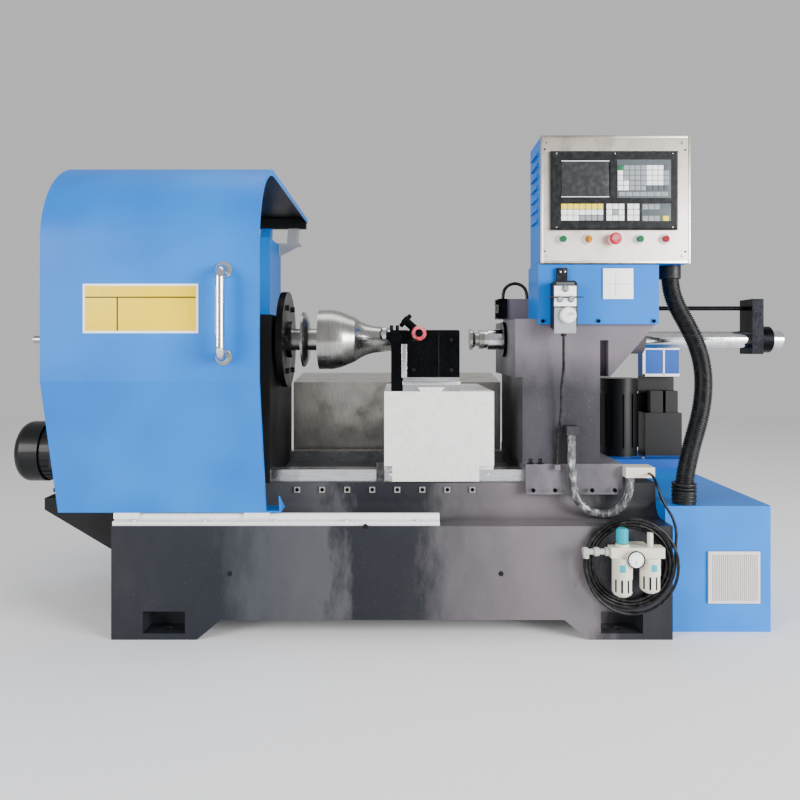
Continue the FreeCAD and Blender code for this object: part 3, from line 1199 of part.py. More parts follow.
def hydraulic_unit():
    """The oil tank behind the cabinet, with its pump motor, valves and terminal box."""
    tank = box(D.tank_left, CAB_BACK, 0, D.tank_long, D.tank_deep, D.tank_high - D.tank_lid)
    lid = box(D.tank_left - D.tank_rim, CAB_BACK, D.tank_high - D.tank_lid,
              D.tank_long + 2 * D.tank_rim, D.tank_deep + D.tank_rim, D.tank_lid)
    unit = [fuse(tank, lid)]
    y = CAB_BACK + D.tank_deep / 2
    pump = rod("Z", D.pump_r, D.pump_high, D.pump_x, y, D.tank_high)
    cap = rod("Z", D.pump_cap_r, D.pump_high / 5, D.pump_x, y, D.tank_high + D.pump_high)
    fins = []
    count = SIZES["pump_fins"]
    for i in range(count):
        fin = box(D.pump_r - D.fin_root, -D.fin_thick / 2, D.pump_high / 7,
                  D.fin_high + D.fin_root, D.fin_thick, D.pump_high * 0.82)
        turn = FreeCAD.Rotation(FreeCAD.Vector(0, 0, 1), 360 / count * i)
        fins.append(spun(fin, turn, D.pump_x, y, D.tank_high))
    unit.append(fuse(pump, cap, *fins))
    front = y - D.manifold_deep / 2
    top = D.tank_high + D.manifold_high
    block = box(D.manifold_left, front, D.tank_high, D.manifold_wide, D.manifold_deep,
                D.manifold_high)
    plate = box(D.manifold_left, front + D.manifold_deep, D.tank_high, D.manifold_wide,
                D.panel_thick, D.panel_top - D.tank_high)
    valves = []
    for i in range(2):
        x = D.manifold_left + D.manifold_wide - (i + 1) * (D.valve_wide + D.valve_gap)
        valves.append(box(x, front + D.valve_in, top, D.valve_wide, D.valve_wide, D.valve_high))
    unit.append(fuse(block, plate, *valves))
    unit.append(box(D.manifold_left, front + D.manifold_deep - D.gauge_box_deep,
                    D.panel_top - D.gauge_box_high, D.manifold_wide, D.gauge_box_deep,
                    D.gauge_box_high))
    node(group(*unit), "hydraulic_unit")


def air_unit():
    """Filter, regulator and lubricator in a row, on a bracket from the bed's front face."""
    front = Y0 - D.air_out - D.air_deep
    middle = front + D.air_deep / 2
    low = D.air_z - D.air_high / 2
    top = low + D.air_high
    bar = box(D.air_x - D.air_long / 2, front, low, D.air_long, D.air_deep, D.air_high)
    bracket = box(D.air_x - D.air_long / 4, front + D.air_deep, low, D.air_long / 2, D.air_out,
                  D.air_high)
    dial = rod("Y", D.dial_r, D.dial_thick, D.air_x - D.air_high / 3, front - D.dial_thick,
               D.air_z - D.air_high / 2)
    left, right = D.air_x - D.bowl_pitch / 2, D.air_x + D.bowl_pitch / 2
    sight = rod("Z", D.sight_r, D.sight_high, right, middle, top)
    coupler_x = D.air_x - D.air_long / 2 - D.coupler_long
    coupler = rod("X", D.coupler_r, D.coupler_long, coupler_x, middle, D.air_z)
    collars = [rod("X", 1.5 * D.coupler_r, D.coupler_long / 6, coupler_x + i * D.coupler_long / 2.4,
                   middle, D.air_z) for i in range(3)]
    elbow = rod("Z", D.coupler_r, 2.2 * D.coupler_r, coupler_x + D.coupler_r, middle,
                D.air_z - 2.2 * D.coupler_r)
    hole = rod("Z", D.knob_stem_r + D.seat_gap, D.air_high / 2, left, middle, top - D.air_high / 2)
    unit = [cut(fuse(bar, bracket, dial, sight, coupler, elbow, *collars), hole)]
    for x, high in ((left, D.bowl_high), (right, D.bowl_high * 0.9)):
        foot = D.bowl_cap
        unit.append(turned("Z", [
            (0, -high), (D.bowl_r - 2 * foot, -high), (D.bowl_r - foot / 2, foot - high),
            (D.bowl_r, 2 * foot - high), (D.bowl_r, 0), (0, 0)], x, middle, low))
    node(group(*unit), "air_unit")
    long, edge = D.air_high / 2 - D.wheel_gap, D.knob_edge
    stem = rod("Z", D.knob_stem_r, long, left, middle, top - long)
    knob = turned("Z", [
        (0, 0), (D.knob_r - edge, 0), (D.knob_r - edge, 2 * edge), (D.knob_r, 3 * edge),
        (D.knob_r, D.knob_high - edge), (D.knob_r - edge, D.knob_high), (0, D.knob_high)],
        left, middle, top + D.wheel_gap)
    node(fuse(stem, knob), "regulator_knob")


def vector(x, y, z):
    return FreeCAD.Vector(number(x), number(y), number(z))


def route_wire(points, label):
    """A cable's wire: at each inner point the arc is as large as its two runs allow."""
    radii = []
    for before, point, after in zip(points, points[1:], points[2:]):
        back, on = before - point, after - point
        turn = math.pi - back.getAngle(on)
        radii.append(0.45 * min(back.Length, on.Length) / math.tan(turn / 2))
    print(label, "radii", [round(radius) for radius in radii])
    return bent_wire(points, radii)


def solid_node(shape, label):
    item = doc.addObject("Part::Feature", "Cord")
    item.Shape = shape
    return node(item, label)


# Inner corners of each route, as shares of the way along X and Y and of its height
CONDUIT_WAY = [(0, 0, 0.082), (1.05, 0.041, 0.17), (2.95, 0.123, 0.258), (4.55, 0.233, 0.352),
               (5.25, 0.356, 0.453), (5, 0.493, 0.557), (4.05, 0.644, 0.658),
               (2.6, 0.795, 0.758), (1.55, 0.932, 0.852), (1, 1, 0.918)]
WRAPPED_WAY = [(0, 0, 0.423), (0.016, 0, 0.88), (0.041, 0, 1.373), (0.17, 0, 1.676),
               (0.392, 0, 1.852), (0.65, 0, 1.852), (0.871, 0.5, 1.676), (1, 1, 1.373)]
PENDANT_WAY = [(0, 0, 0.136), (-0.333, 0.386, 0.266), (0.25, 0.568, 0.402),
               (-0.083, 0.705, 0.536), (0.333, 0.773, 0.666), (0.917, 0.864, 0.784),
               (1, 1, 0.882)]
SENSOR_WAY = [(0, 0, 0.33), (0.193, 0, 0.591), (0.5, 0, 0.693), (0.807, 0, 0.591), (1, 0, 0.33)]
HOSE_WAY = [(0, 0, 0.189), (-0.076, 0.011, 0.367), (0.12, 0.054, 0.53), (0.432, 0.12, 0.633),
            (0.725, 0.174, 0.735), (0.882, 0.228, 0.841), (0.96, 0.348, 0.917),
            (0.99, 0.511, 0.97), (1, 0.739, 1)]


def route(start, end, way, rise):
    """The corners from start to end. rise is the height that a share of 1 stands for."""
    span = end - start
    inner = [start + FreeCAD.Vector(x * span.x, y * span.y, z * number(rise)) for x, y, z in way]
    return [start, *inner, end]


def conduit():
    """The ribbed hose that carries the cables from the control box to the cabinet."""
    start = vector(D.conduit_x, Y0 + D.conduit_y, D.box_low)
    end = vector(D.conduit_x + D.conduit_end_right, Y0 + D.conduit_y - D.conduit_end_front,
                 D.cab_high)
    points = route(start, end, CONDUIT_WAY, D.cab_high - D.box_low)
    wire = route_wire(points, "cable_conduit")
    solid = ribbed(wire, SIZES["conduit_r"], SIZES["conduit_rib"], SIZES["conduit_ribs"])
    bored = solid.cut(swept(wire, SIZES["conduit_bore"]))
    solid_node(bored, "cable_conduit")
    hole = D.conduit_r + D.seat_gap
    cuffs = []
    for x, y, low in ((D.conduit_x, D.conduit_y, D.box_low - D.cuff_high),
                      (D.conduit_x + D.conduit_end_right, D.conduit_y - D.conduit_end_front,
                       D.cab_high)):
        sleeve = rod("Z", hole + D.cuff_wall, D.cuff_high, x, Y0 + y, low)
        eye = rod("Z", hole, D.cuff_high, x, Y0 + y, low)
        cuffs.append(cut(sleeve, eye))
    node(group(*cuffs), "conduit_cuffs")


def ribbed(wire, radius, rib, count):
    """A ruled loft through four circles for each rib, on a steady X axis."""
    long = wire.Length
    circles = []
    for i in range(count):
        for part, depth in ((0.04, rib), (0.34, 0), (0.74, 0)):
            point, along = spot_on(wire, (i + part) / count * long)
            circles.append(ring_at(point, along, radius - depth))
    first, along = spot_on(wire, 0)
    last, end_along = spot_on(wire, long)
    circles.insert(0, ring_at(first, along, radius - rib))
    circles.append(ring_at(last, end_along, radius - rib))
    return Part.makeLoft(circles, True, True)


def spot_on(wire, distance):
    """The point at a distance along a wire, and the way that the wire runs there."""
    for edge in wire.OrderedEdges:
        if distance <= edge.Length + 1e-6:
            at = edge.getParameterByLength(min(distance, edge.Length))
            return edge.valueAt(at), edge.tangentAt(at)
        distance -= edge.Length
    edge = wire.OrderedEdges[-1]
    return edge.valueAt(edge.LastParameter), edge.tangentAt(edge.LastParameter)


def ring_at(point, along, radius):
    """A circle square to the way, whose own X axis stays in the vertical XZ plane."""
    across = FreeCAD.Vector(0, 1, 0).cross(along).normalize()
    circle = Part.Circle(point, along, radius)
    circle.XAxis = across
    return Part.Wire(circle.toShape())


def junction():
    """The block on the tailstock's end where the wrapped cable and the air hose arrive."""
    node(box(TAIL_RIGHT, Y0 + D.junction_front, D.junction_low, D.junction_long, D.junction_deep,
             D.junction_high), "junction_block")


def cables():
    gland_y = D.tail_front - D.gland_out / 2
    start = vector(D.gland_x, Y0 + gland_y, D.gland_low)
    end = vector(TAIL_RIGHT + 1.3 * D.wrapped_r, Y0 + D.junction_front + 1.15 * D.wrapped_r,
                 D.junction_low)
    put_cable(route(start, end, WRAPPED_WAY, D.junction_low - D.gland_low), D.wrapped_r,
              "film_wrapped_cable")
    middle = D.pendant_left + D.pendant_wide / 2
    start = vector(middle, BOX_FRONT - D.hook_thick - D.pendant_deep / 2,
                   D.pendant_low - D.strain_relief)
    end = vector(D.lead_gland_x, TAIL_FRONT - D.lead_gland_r, TAIL_TOP)
    put_cable(route(start, end, PENDANT_WAY, number(TAIL_TOP) - start.z), D.lead_r,
              "pendant_cable")
    y = Y0 + D.boss_front + D.boss_deep / 2
    start = vector(D.sensor_right, y, D.boss_top)
    end = vector(D.sensor_right - D.sensor_span, y, D.boss_top)
    put_cable(route(start, end, SENSOR_WAY, D.sensor_span), D.sensor_r, "sensor_conduit")


def coil_place(turn):
    """Where the hank's hose is after so many turns: inwards in front, then outwards behind."""
    inner_turn = SIZES["coil_in_turns"]
    radius = SIZES["coil_outer"] - SIZES["coil_in_pitch"] * min(turn, inner_turn)
    radius += SIZES["coil_out_pitch"] * max(0, turn - inner_turn)
    depth = SIZES["air_out"] + SIZES["air_deep"] / 2
    depth += (SIZES["coil_front_layer"] - depth) * eased(turn)
    depth += (SIZES["coil_back_layer"] - SIZES["coil_front_layer"]) * eased(
        (turn - inner_turn + 0.5) / 0.5)
    angle = math.pi * (1 + 2 * turn)
    return FreeCAD.Vector(SIZES["coil_x"] + radius * math.cos(angle), number(Y0) - depth,
                          SIZES["coil_z"] + radius * math.sin(angle))


def eased(share):
    share = min(1, max(0, share))
    return share * share * (3 - 2 * share)


def coil_way(turn):
    step = 0.01
    return (coil_place(turn + step) - coil_place(turn - step)).normalize()


def biarc(start, way, end, end_way):
    """Two arcs that join two points and keep to both their directions."""
    chord = end - start
    both = way + end_way
    scale = 2 * (1 - way.dot(end_way))
    reach = (-chord.dot(both) + math.sqrt(chord.dot(both) ** 2 + scale * chord.dot(chord))) / scale
    first = start + way * reach
    last = end - end_way * reach
    middle = (first + last) / 2
    return [arc_by_corner(start, first, middle), arc_by_corner(middle, last, end)]


def arc_by_corner(start, corner, end):
    """The arc that leaves the start towards the corner and reaches the end from it."""
    half = (corner - start).getAngle(end - start)
    bulge = (start + end) / 2
    lean = (corner - bulge).normalize()
    rise = (end - start).Length / 2 * math.tan(half / 2)
    return Part.Arc(start, bulge + lean * rise, end).toShape()


def air_hose():
    """From the coupler's elbow round the hank and over the bed's corner to the junction."""
    steps = SIZES["coil_steps"]
    last = SIZES["coil_end_turn"]
    turns = [i / steps for i in range(int(last * steps) + 1)]
    down = FreeCAD.Vector(0, 0, -1)
    top = coil_place(0)
    top.z = number(D.air_z - 2.2 * D.coupler_r)
    edges = [Part.LineSegment(top, coil_place(0)).toShape()]
    ways = [down] + [coil_way(turn) for turn in turns[1:-1]] + [-down]
    for i in range(len(turns) - 1):
        edges += biarc(coil_place(turns[i]), ways[i], coil_place(turns[i + 1]), ways[i + 1])
    leave = coil_place(last)
    end = vector(D.hose_end_x, Y0 + D.junction_front, D.hose_end_z)
    tail = route(leave, end, HOSE_WAY, end.z - leave.z)
    wire = Part.Wire(edges + route_wire(tail, "air_hose").Edges)
    radius = SIZES["hose_r"]
    print("air_hose_coil least gap", round(least_gap(wire, radius), 2))
    solid_node(swept(wire, radius), "air_hose_coil")
    print("air_hose_coil long", round(wire.Length))


def least_gap(wire, radius):
    """The nearest approach of the hose to itself, a third of a turn or more along."""
    points = wire.discretize(Distance=6)
    apart = int(2 * math.pi * SIZES["coil_outer"] / 6 / 3)
    nearest = min((points[i] - points[j]).Length
                  for i in range(len(points)) for j in range(i + apart, len(points)))
    return nearest - 2 * radius


def put_cable(points, radius, label):
    wire = route_wire(points, label)
    solid_node(swept(wire, number(radius)), label)
    print(label, "long", round(wire.Length))


def build():
    bed()
    guideways()
    guard_rail()
    headstock()
    spindle()
    belt_drive()
    motor()
    guard()
    rear_cabinet()
    way_cover()
    saddle()
    cross_slide()
    tool_block()
    roller_post()
    tailstock()
    control_box()
    pendant()
    right_cabinet()
    hydraulic_unit()
    air_unit()
    junction()
    conduit()
    cables()
    air_hose()


def check_pieces():
    """Stop before anything is written if a piece is broken."""
    for item in doc.Objects:
        if "Invalid" in item.State or "Error" in item.State:
            raise RuntimeError("%s is %s" % (item.Label, item.State))
        shape = getattr(item, "Shape", None)
        if shape is not None and not item.isDerivedFrom("Sketcher::SketchObject"):
            if shape.isNull() or not shape.isValid():
                raise RuntimeError("%s has no valid shape" % item.Label)
    for item in NODES:
        if not item.Shape.Solids:
            raise RuntimeError("%s has no solid" % item.Label)


build()
doc.recompute()
check_pieces()
os.makedirs("parts", exist_ok=True)
for item in NODES:
    item.Shape.exportStep("parts/%s.step" % item.Label)
print(len(NODES), "nodes written")
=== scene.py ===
# %% [markdown]
# # A metal spinning lathe
# The machine stands on its floor as the CAD model gives it. This file gives each piece its
# finish, adds the detail that is too fine for the CAD model, and lays the cables.

# %% The frame
import math

import bpy
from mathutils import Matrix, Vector


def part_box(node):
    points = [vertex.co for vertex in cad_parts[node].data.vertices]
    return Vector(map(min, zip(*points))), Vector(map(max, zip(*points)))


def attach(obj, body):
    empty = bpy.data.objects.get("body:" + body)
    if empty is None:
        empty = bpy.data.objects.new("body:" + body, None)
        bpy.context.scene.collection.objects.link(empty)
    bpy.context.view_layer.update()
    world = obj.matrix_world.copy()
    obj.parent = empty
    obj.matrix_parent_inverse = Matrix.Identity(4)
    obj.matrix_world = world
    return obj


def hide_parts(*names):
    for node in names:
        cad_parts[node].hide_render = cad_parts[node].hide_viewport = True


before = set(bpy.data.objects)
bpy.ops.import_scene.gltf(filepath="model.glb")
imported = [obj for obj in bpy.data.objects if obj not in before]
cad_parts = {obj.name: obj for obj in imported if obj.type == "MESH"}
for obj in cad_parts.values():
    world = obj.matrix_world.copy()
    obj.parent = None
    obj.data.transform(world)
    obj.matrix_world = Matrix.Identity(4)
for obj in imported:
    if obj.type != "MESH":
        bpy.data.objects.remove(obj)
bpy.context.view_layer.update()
print("nodes", len(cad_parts))

# %% [markdown]
# ## Camera, floor and light
# The photograph was taken with the lens level, at the height of the spindle, about 2.7 m in
# front of the machine's middle. A level camera keeps upright edges upright. The picture is
# shifted instead of the camera being tilted.

# %% Camera
FRAME_PX = 800
FOCAL_PX = 710
LENS_AXIS_PX = (397, 348)
SENSOR = 36
LENS_AWAY, LENS_HEIGHT = 2.713, 0.925

bpy.ops.object.camera_add(location=(0, -LENS_AWAY, LENS_HEIGHT), rotation=(math.pi / 2, 0, 0))
camera = bpy.context.object
camera.data.sensor_width = SENSOR
camera.data.lens = FOCAL_PX / FRAME_PX * SENSOR
camera.data.shift_x = (FRAME_PX / 2 - LENS_AXIS_PX[0]) / FRAME_PX
camera.data.shift_y = (LENS_AXIS_PX[1] - FRAME_PX / 2) / FRAME_PX
bpy.context.scene.camera = camera
print("lens", round(camera.data.lens, 1), "mm")

# %% Floor and light
def floor():
    bpy.ops.mesh.primitive_plane_add(size=14, location=(0, 0, 0))
    ground = bpy.context.object
    ground.name = "floor"
    return ground


def softbox(name, place, tilt, swing, size, watts):
    """A soft lamp, tilted up from looking straight down and then swung round, in degrees."""
    bpy.ops.object.light_add(type="AREA", location=place,
                             rotation=(math.radians(tilt), 0, math.radians(swing)))
    lamp = bpy.context.object
    lamp.name = name
    lamp.data.shape = "RECTANGLE"
    lamp.data.size, lamp.data.size_y = size
    lamp.data.energy = watts
    return lamp


def white_room(strength):
    """The pale workshop all round, which the paint and the bright metal reflect."""
    world = bpy.data.worlds.new("white_room")
    world.use_nodes = True
    world.node_tree.nodes["Background"].inputs["Color"].default_value = (1, 1, 1, 1)
    world.node_tree.nodes["Background"].inputs["Strength"].default_value = strength
    bpy.context.scene.world = world


ground = floor()
white_room(0.6)
lamps = [softbox("right_light", (4.3, -3.6, 1.6), 88, 50, (2.6, 2.6), 560),
         softbox("left_light", (-3.9, -4.0, 2.0), 80, -45, (2.2, 2.2), 270),
         softbox("top_light", (0.2, 0.3, 4.0), 0, 0, (3.0, 1.6), 50)]
print("floor and", len(lamps), "lamps")

# %% [markdown]
# ## Colours and patterns
# A colour is noted as the hex value that a picture editor shows. Blender's shaders work with
# linear light, so one function turns the noted value round. Patterns are sized in millimetres,
# because that is how a finish is known: 0.9 mm grain, 3 mm orange peel, clouds of 400 mm.

# %% Colour, scale and nodes
def linear(hex_value, alpha=1.0):
    channels = [int(hex_value[i:i + 2], 16) / 255 for i in (1, 3, 5)]
    return [c / 12.92 if c <= 0.04045 else ((c + 0.055) / 1.055) ** 2.4 for c in channels] + [alpha]


def per_metre(millimetres):
    """The texture scale that gives a pattern this size, in a scene measured in metres."""
    return 1000 / millimetres


def add(tree, kind, inputs=None, **settings):
    """Adds a node, sets it up, and links or fills its inputs."""
    made = tree.nodes.new("ShaderNode" + kind)
    for name, value in settings.items():
        setattr(made, name, value)
    for name, value in (inputs or {}).items():
        if isinstance(value, bpy.types.NodeSocket):
            tree.links.new(value, made.inputs[name])
        else:
            made.inputs[name].default_value = value
    return made


def start(name, roughness, metallic=0.0, coat=0.0):
    """A new material, its shader and the piece's own coordinates in metres."""
    material = bpy.data.materials.new(name)
    material.use_nodes = True
    tree = material.node_tree
    shader = tree.nodes["Principled BSDF"]
    shader.inputs["Roughness"].default_value = roughness
    shader.inputs["Metallic"].default_value = metallic
    shader.inputs["Coat Weight"].default_value = coat
    shader.inputs["Specular IOR Level"].default_value = 0.5 if metallic else 0.2
    place = add(tree, "TexCoord").outputs["Object"]
    return material, tree, shader, place


def streak(tree, place, stretch):
    """Coordinates squeezed along the way a tool or brush went, so noise draws out into lines."""
    return add(tree, "Mapping", {"Vector": place, "Scale": stretch}).outputs["Vector"]


def cloud(tree, place, size, detail=3.0, roughness=0.55):
    return add(tree, "TexNoise", {"Vector": place, "Scale": per_metre(size), "Detail": detail,
                                  "Roughness": roughness}).outputs["Fac"]


def between(tree, amount, *stops):
    """Colours along a ramp: each stop is a position and a hex colour."""
    ramp = add(tree, "ValToRGB", {"Fac": amount})
    elements = ramp.color_ramp.elements
    while len(elements) < len(stops):
        elements.new(0.5)
    for element, (position, hex_value) in zip(elements, stops):
        element.position = position
        element.color = linear(hex_value)
    return ramp.outputs["Color"]


def blend(tree, amount, first, second, kind="MIX"):
    mixer = add(tree, "Mix", data_type="RGBA", blend_type=kind)
    for slot, value in ((0, amount), (6, first), (7, second)):
        if isinstance(value, bpy.types.NodeSocket):
            tree.links.new(value, mixer.inputs[slot])
        else:
            mixer.inputs[slot].default_value = value
    return mixer.outputs[2]


def spread(tree, amount, low, high, start_at=0.3, end_at=0.7):
    """Stretches a pattern's middle range over the values that a socket needs."""
    return add(tree, "MapRange", {"Value": amount, "From Min": start_at, "From Max": end_at,
                                  "To Min": low, "To Max": high}).outputs["Result"]


def relief(tree, shader, height, depth_mm, strength=1.0):
    bump = add(tree, "Bump", {"Height": height, "Distance": depth_mm / 1000,
                              "Strength": strength})
    tree.links.new(bump.outputs["Normal"], shader.inputs["Normal"])


def height_of(tree, place, axis="Z"):
    return add(tree, "SeparateXYZ", {"Vector": place}).outputs[axis]

# %% [markdown]
# ### Powder-coated sheet
# The guard, the cabinets and the control box are steel sheet, powder coated in one blue and
# baked. The coat has a faint orange peel about 3 mm across and is a little uneven in gloss.

# %% Powder coat
def powder_coat(name, deep, main, pale, roughness=0.42, coat=0.0):
    material, tree, shader, place = start(name, roughness, coat=coat)
    wide = cloud(tree, place, 420, detail=2)
    colour = between(tree, wide, (0.32, deep), (0.5, main), (0.68, pale))
    dust = cloud(tree, place, 26, detail=6, roughness=0.7)
    tree.links.new(blend(tree, spread(tree, dust, 0.0, 0.10, 0.45, 0.75), colour, linear(pale)),
                   shader.inputs["Base Color"])
    tree.links.new(spread(tree, wide, roughness - 0.06, roughness + 0.08),
                   shader.inputs["Roughness"])
    relief(tree, shader, cloud(tree, place, 3.0, detail=1), 0.12, 0.35)
    return material


machine_blue = powder_coat("powder_coat_blue", "#0062B8", "#006CC4", "#0876CE")
deep_blue = powder_coat("powder_coat_deep_blue", "#003A86", "#004696", "#0A54A8")
black_coat = powder_coat("powder_coat_black", "#08090B", "#0E0F12", "#17181C", 0.42, 0.1)
light_grey_coat = powder_coat("powder_coat_light_grey", "#85888E", "#9A9DA3", "#AEB1B6")
print("powder coats", len(bpy.data.materials))

# %% [markdown]
# ### Painted castings
# The bed is grey iron with filler and dark enamel. Along its length it is painted in broad upright
# bands: some near-black, and some lighter grey as painted reflections of the bright room in the
# satin enamel. A ramp along the bed's length sets where each band lies, and noise shifts it, so
# that no edge between two is straight.

# %% Bands of painted light
def painted_light_bands(tree, place, axis, low_mm, high_mm, stops, wander=0.05):
    """Painted light and shade in bands between two places along an axis, their edges wandering."""
    along = add(tree, "MapRange", {"Value": height_of(tree, place, axis),
                                   "From Min": low_mm / 1000,
                                   "From Max": high_mm / 1000}).outputs["Result"]
    rough = cloud(tree, streak(tree, place, (1, 1, 0.35)), 90, detail=5, roughness=0.65)
    shift = add(tree, "Math", {0: rough, 1: 0.5}, operation="SUBTRACT").outputs[0]
    moved = add(tree, "Math", {0: shift, 1: wander * 4, 2: along},
                operation="MULTIPLY_ADD").outputs[0]
    return between(tree, moved, *stops)


# The bed's painted reflections run along its length, and the tailstock column's painted shade from
# its foot up.
BED_PAINTED_REFLECTIONS = ("X", -906, 874,
              [(0.0, "#1B1D22"), (0.19, "#1C1F26"), (0.27, "#3F4146"), (0.385, "#4B4B4F"),
               (0.425, "#191C22"), (0.545, "#191C21"), (0.60, "#4E4B4F"), (0.74, "#6D656A"),
               (0.84, "#6A6468"), (0.90, "#26272C"), (1.0, "#1D1E23")])
# The tailstock column is painted dark low down and lavender-grey high up: painted shade below,
# painted light above.
TAIL_PAINTED_SHADE = ("Z", 538, 1102,
               [(0.0, "#1F2025"), (0.44, "#232429"), (0.56, "#4C474E"), (0.68, "#6B636B"),
                (1.0, "#6F6871")])
print("passes on the bed", len(BED_PAINTED_REFLECTIONS[-1]), "and on the tailstock", len(TAIL_PAINTED_SHADE[-1]))

# %% Casting paint
def casting_paint(name, dark, main, pale, cloud_mm, roughness, skin_mm, skin_depth, painted_light=None):
    material, tree, shader, place = start(name, roughness)
    upright = streak(tree, place, (1.0, 1.0, 0.55))
    patches = cloud(tree, upright, cloud_mm, detail=4, roughness=0.6)
    colour = between(tree, patches, (0.34, dark), (0.5, main), (0.66, pale))
    # Bands of painted light and shade along an axis, laid over the paint.
    if painted_light:
        colour = blend(tree, 0.78, colour, painted_light_bands(tree, place, *painted_light))
    specks = cloud(tree, place, 5, detail=2)
    colour = blend(tree, spread(tree, specks, 0.0, 0.55, 0.66, 0.78), colour, linear(pale))
    tree.links.new(colour, shader.inputs["Base Color"])
    tree.links.new(spread(tree, patches, roughness + 0.1, roughness - 0.1),
                   shader.inputs["Roughness"])
    relief(tree, shader, cloud(tree, place, skin_mm, detail=5, roughness=0.65), skin_depth)
    return material


bed_paint = casting_paint("bed_enamel", "#1B1C20", "#2A2B30", "#4A494C", 420, 0.42, 9, 0.25,
                          BED_PAINTED_REFLECTIONS)
black_casting = casting_paint("headstock_enamel", "#060607", "#0D0D0F", "#1B1B1E", 260, 0.5, 7, 0.3)
tail_paint = casting_paint("tailstock_enamel", "#2C2B30", "#4A464C", "#6E6870", 260, 0.44, 12, 0.2,
                           TAIL_PAINTED_SHADE)
base_paint = casting_paint("tailstock_base_enamel", "#4B494E", "#5B585E", "#77737A", 200, 0.5, 9,
                           0.2)
print("painted castings", bed_paint.name, black_casting.name, tail_paint.name, base_paint.name)

# %% [markdown]
# ### Bare metals
# Ground steel shows fine straight lines along the way that the wheel went. Turned steel shows
# rings round its axis. Hard chrome is smoother than either, with only a breath of haze.

# %% Bare metals
def lined_metal(name, dark, pale, roughness, stretch, line_mm, depth_mm, stain="#6B655C",
                painted_sheen=None):
    material, tree, shader, place = start(name, roughness, metallic=1.0)
    lines = cloud(tree, streak(tree, place, stretch), line_mm, detail=3, roughness=0.7)
    colour = between(tree, lines, (0.35, dark), (0.65, pale))
    # A painted sheen: bands of colour along an axis laid over the metal.
    if painted_sheen:
        colour = blend(tree, 0.7, colour, painted_light_bands(tree, place, *painted_sheen))
    smears = cloud(tree, place, 70, detail=4)
    colour = blend(tree, spread(tree, smears, 0.0, 0.35, 0.52, 0.78), colour, linear(stain))
    tree.links.new(colour, shader.inputs["Base Color"])
    tree.links.new(spread(tree, smears, roughness - 0.07, roughness + 0.12),
                   shader.inputs["Roughness"])
    relief(tree, shader, lines, depth_mm, 0.5)
    return material


ground_steel = lined_metal("ground_steel", "#A9ABAE", "#D8DADC", 0.26, (0.02, 1, 1), 1.2, 0.03)
turned_steel = lined_metal("turned_steel", "#8E8D8A", "#B4B3AF", 0.24, (1, 0.02, 0.02), 1.6, 0.03)
oiled_steel = lined_metal("oiled_steel", "#232425", "#3A3B3C", 0.34, (1, 0.02, 0.02), 2.0, 0.04,
                          "#141414")
hard_chrome = lined_metal("hard_chrome", "#C4C6C9", "#E2E4E6", 0.13, (0.2, 1, 1), 4, 0.01)
stainless_sheet = lined_metal("stainless_sheet", "#A8A49D", "#C8C5BE", 0.38, (1, 1, 0.03), 1.5,
                              0.03)
# The control panel's steel is painted pale low down and darker towards the top: a painted sheen.
PANEL_PAINTED_SHEEN = ("Z", 1205, 1628,
               [(0.0, "#F4EAE4"), (0.35, "#EFE3DC"), (0.75, "#B5ADA2"), (1.0, "#8E8678")], 0.02)
panel_stainless = lined_metal("panel_stainless", "#BDB7AF", "#D8D2CA", 0.4, (0.03, 1, 1), 1.0, 0.02,
                              "#A89F97", PANEL_PAINTED_SHEEN)
black_oxide = lined_metal("black_oxide_steel", "#0B0B0D", "#1A1B1E", 0.36, (1, 1, 0.2), 2.0, 0.03,
                          "#0A0A0B")
print("metals", ground_steel.name, turned_steel.name, hard_chrome.name)

# %% [markdown]
# ### Plastics, rubber and enamel
# Moulded parts have an even colour with a very fine spark texture from the mould. Rubber is
# duller, and picks up pale dust.

# %% Moulded and soft finishes
def moulded(name, main, roughness, grain_mm=0.9, depth_mm=0.05, dust="#8A8A88", dusty=0.06,
            coat=0.0):
    material, tree, shader, place = start(name, roughness, coat=coat)
    film = cloud(tree, place, 18, detail=5)
    tree.links.new(blend(tree, spread(tree, film, 0.0, dusty, 0.45, 0.75), linear(main),
                         linear(dust)), shader.inputs["Base Color"])
    tree.links.new(spread(tree, film, roughness - 0.04, roughness + 0.08),
                   shader.inputs["Roughness"])
    relief(tree, shader, cloud(tree, place, grain_mm, detail=2), depth_mm, 0.5)
    return material


black_abs = moulded("abs_black", "#101114", 0.4)
hose_black = moulded("polyurethane_black", "#0B0B0D", 0.3, dusty=0.12)
belt_rubber = moulded("belt_rubber", "#111111", 0.7, dusty=0.2)
wiper_rubber = moulded("wiper_rubber", "#232325", 0.6, dusty=0.25)
nylon_red = moulded("nylon_red", "#A8303F", 0.42, dust="#E9C3C6", dusty=0.4)
beige_abs = moulded("abs_beige", "#CFCBC6", 0.5)
cream_abs = moulded("abs_cream", "#CFCBBB", 0.42)
teal_abs = moulded("abs_teal", "#0A9FAE", 0.3, dust="#0F8C98", dusty=0.3)
white_enamel = moulded("white_enamel", "#E4E4E6", 0.32, 2.5, 0.06, dust="#C9C9CC", dusty=0.4)
apron_enamel = moulded("apron_satin", "#DCDBD8", 0.34, 3.0, 0.05, dust="#C2C1BC", dusty=0.6)
key_white = moulded("key_white", "#E6E8EA", 0.45)
key_grey = moulded("key_grey", "#83898D", 0.45)
key_slate = moulded("key_slate", "#4C5357", 0.5)
key_yellow = moulded("key_yellow", "#E4CC30", 0.45)
cap_green = moulded("cap_green", "#0B5C36", 0.3, coat=0.2)
cap_red = moulded("cap_red", "#8A0C24", 0.3, coat=0.2)
stop_red = moulded("stop_red", "#C8082C", 0.32, coat=0.15)
cap_amber = moulded("cap_amber", "#B8720C", 0.32, coat=0.2)
label_white = moulded("label_white", "#F2F3F5", 0.5)
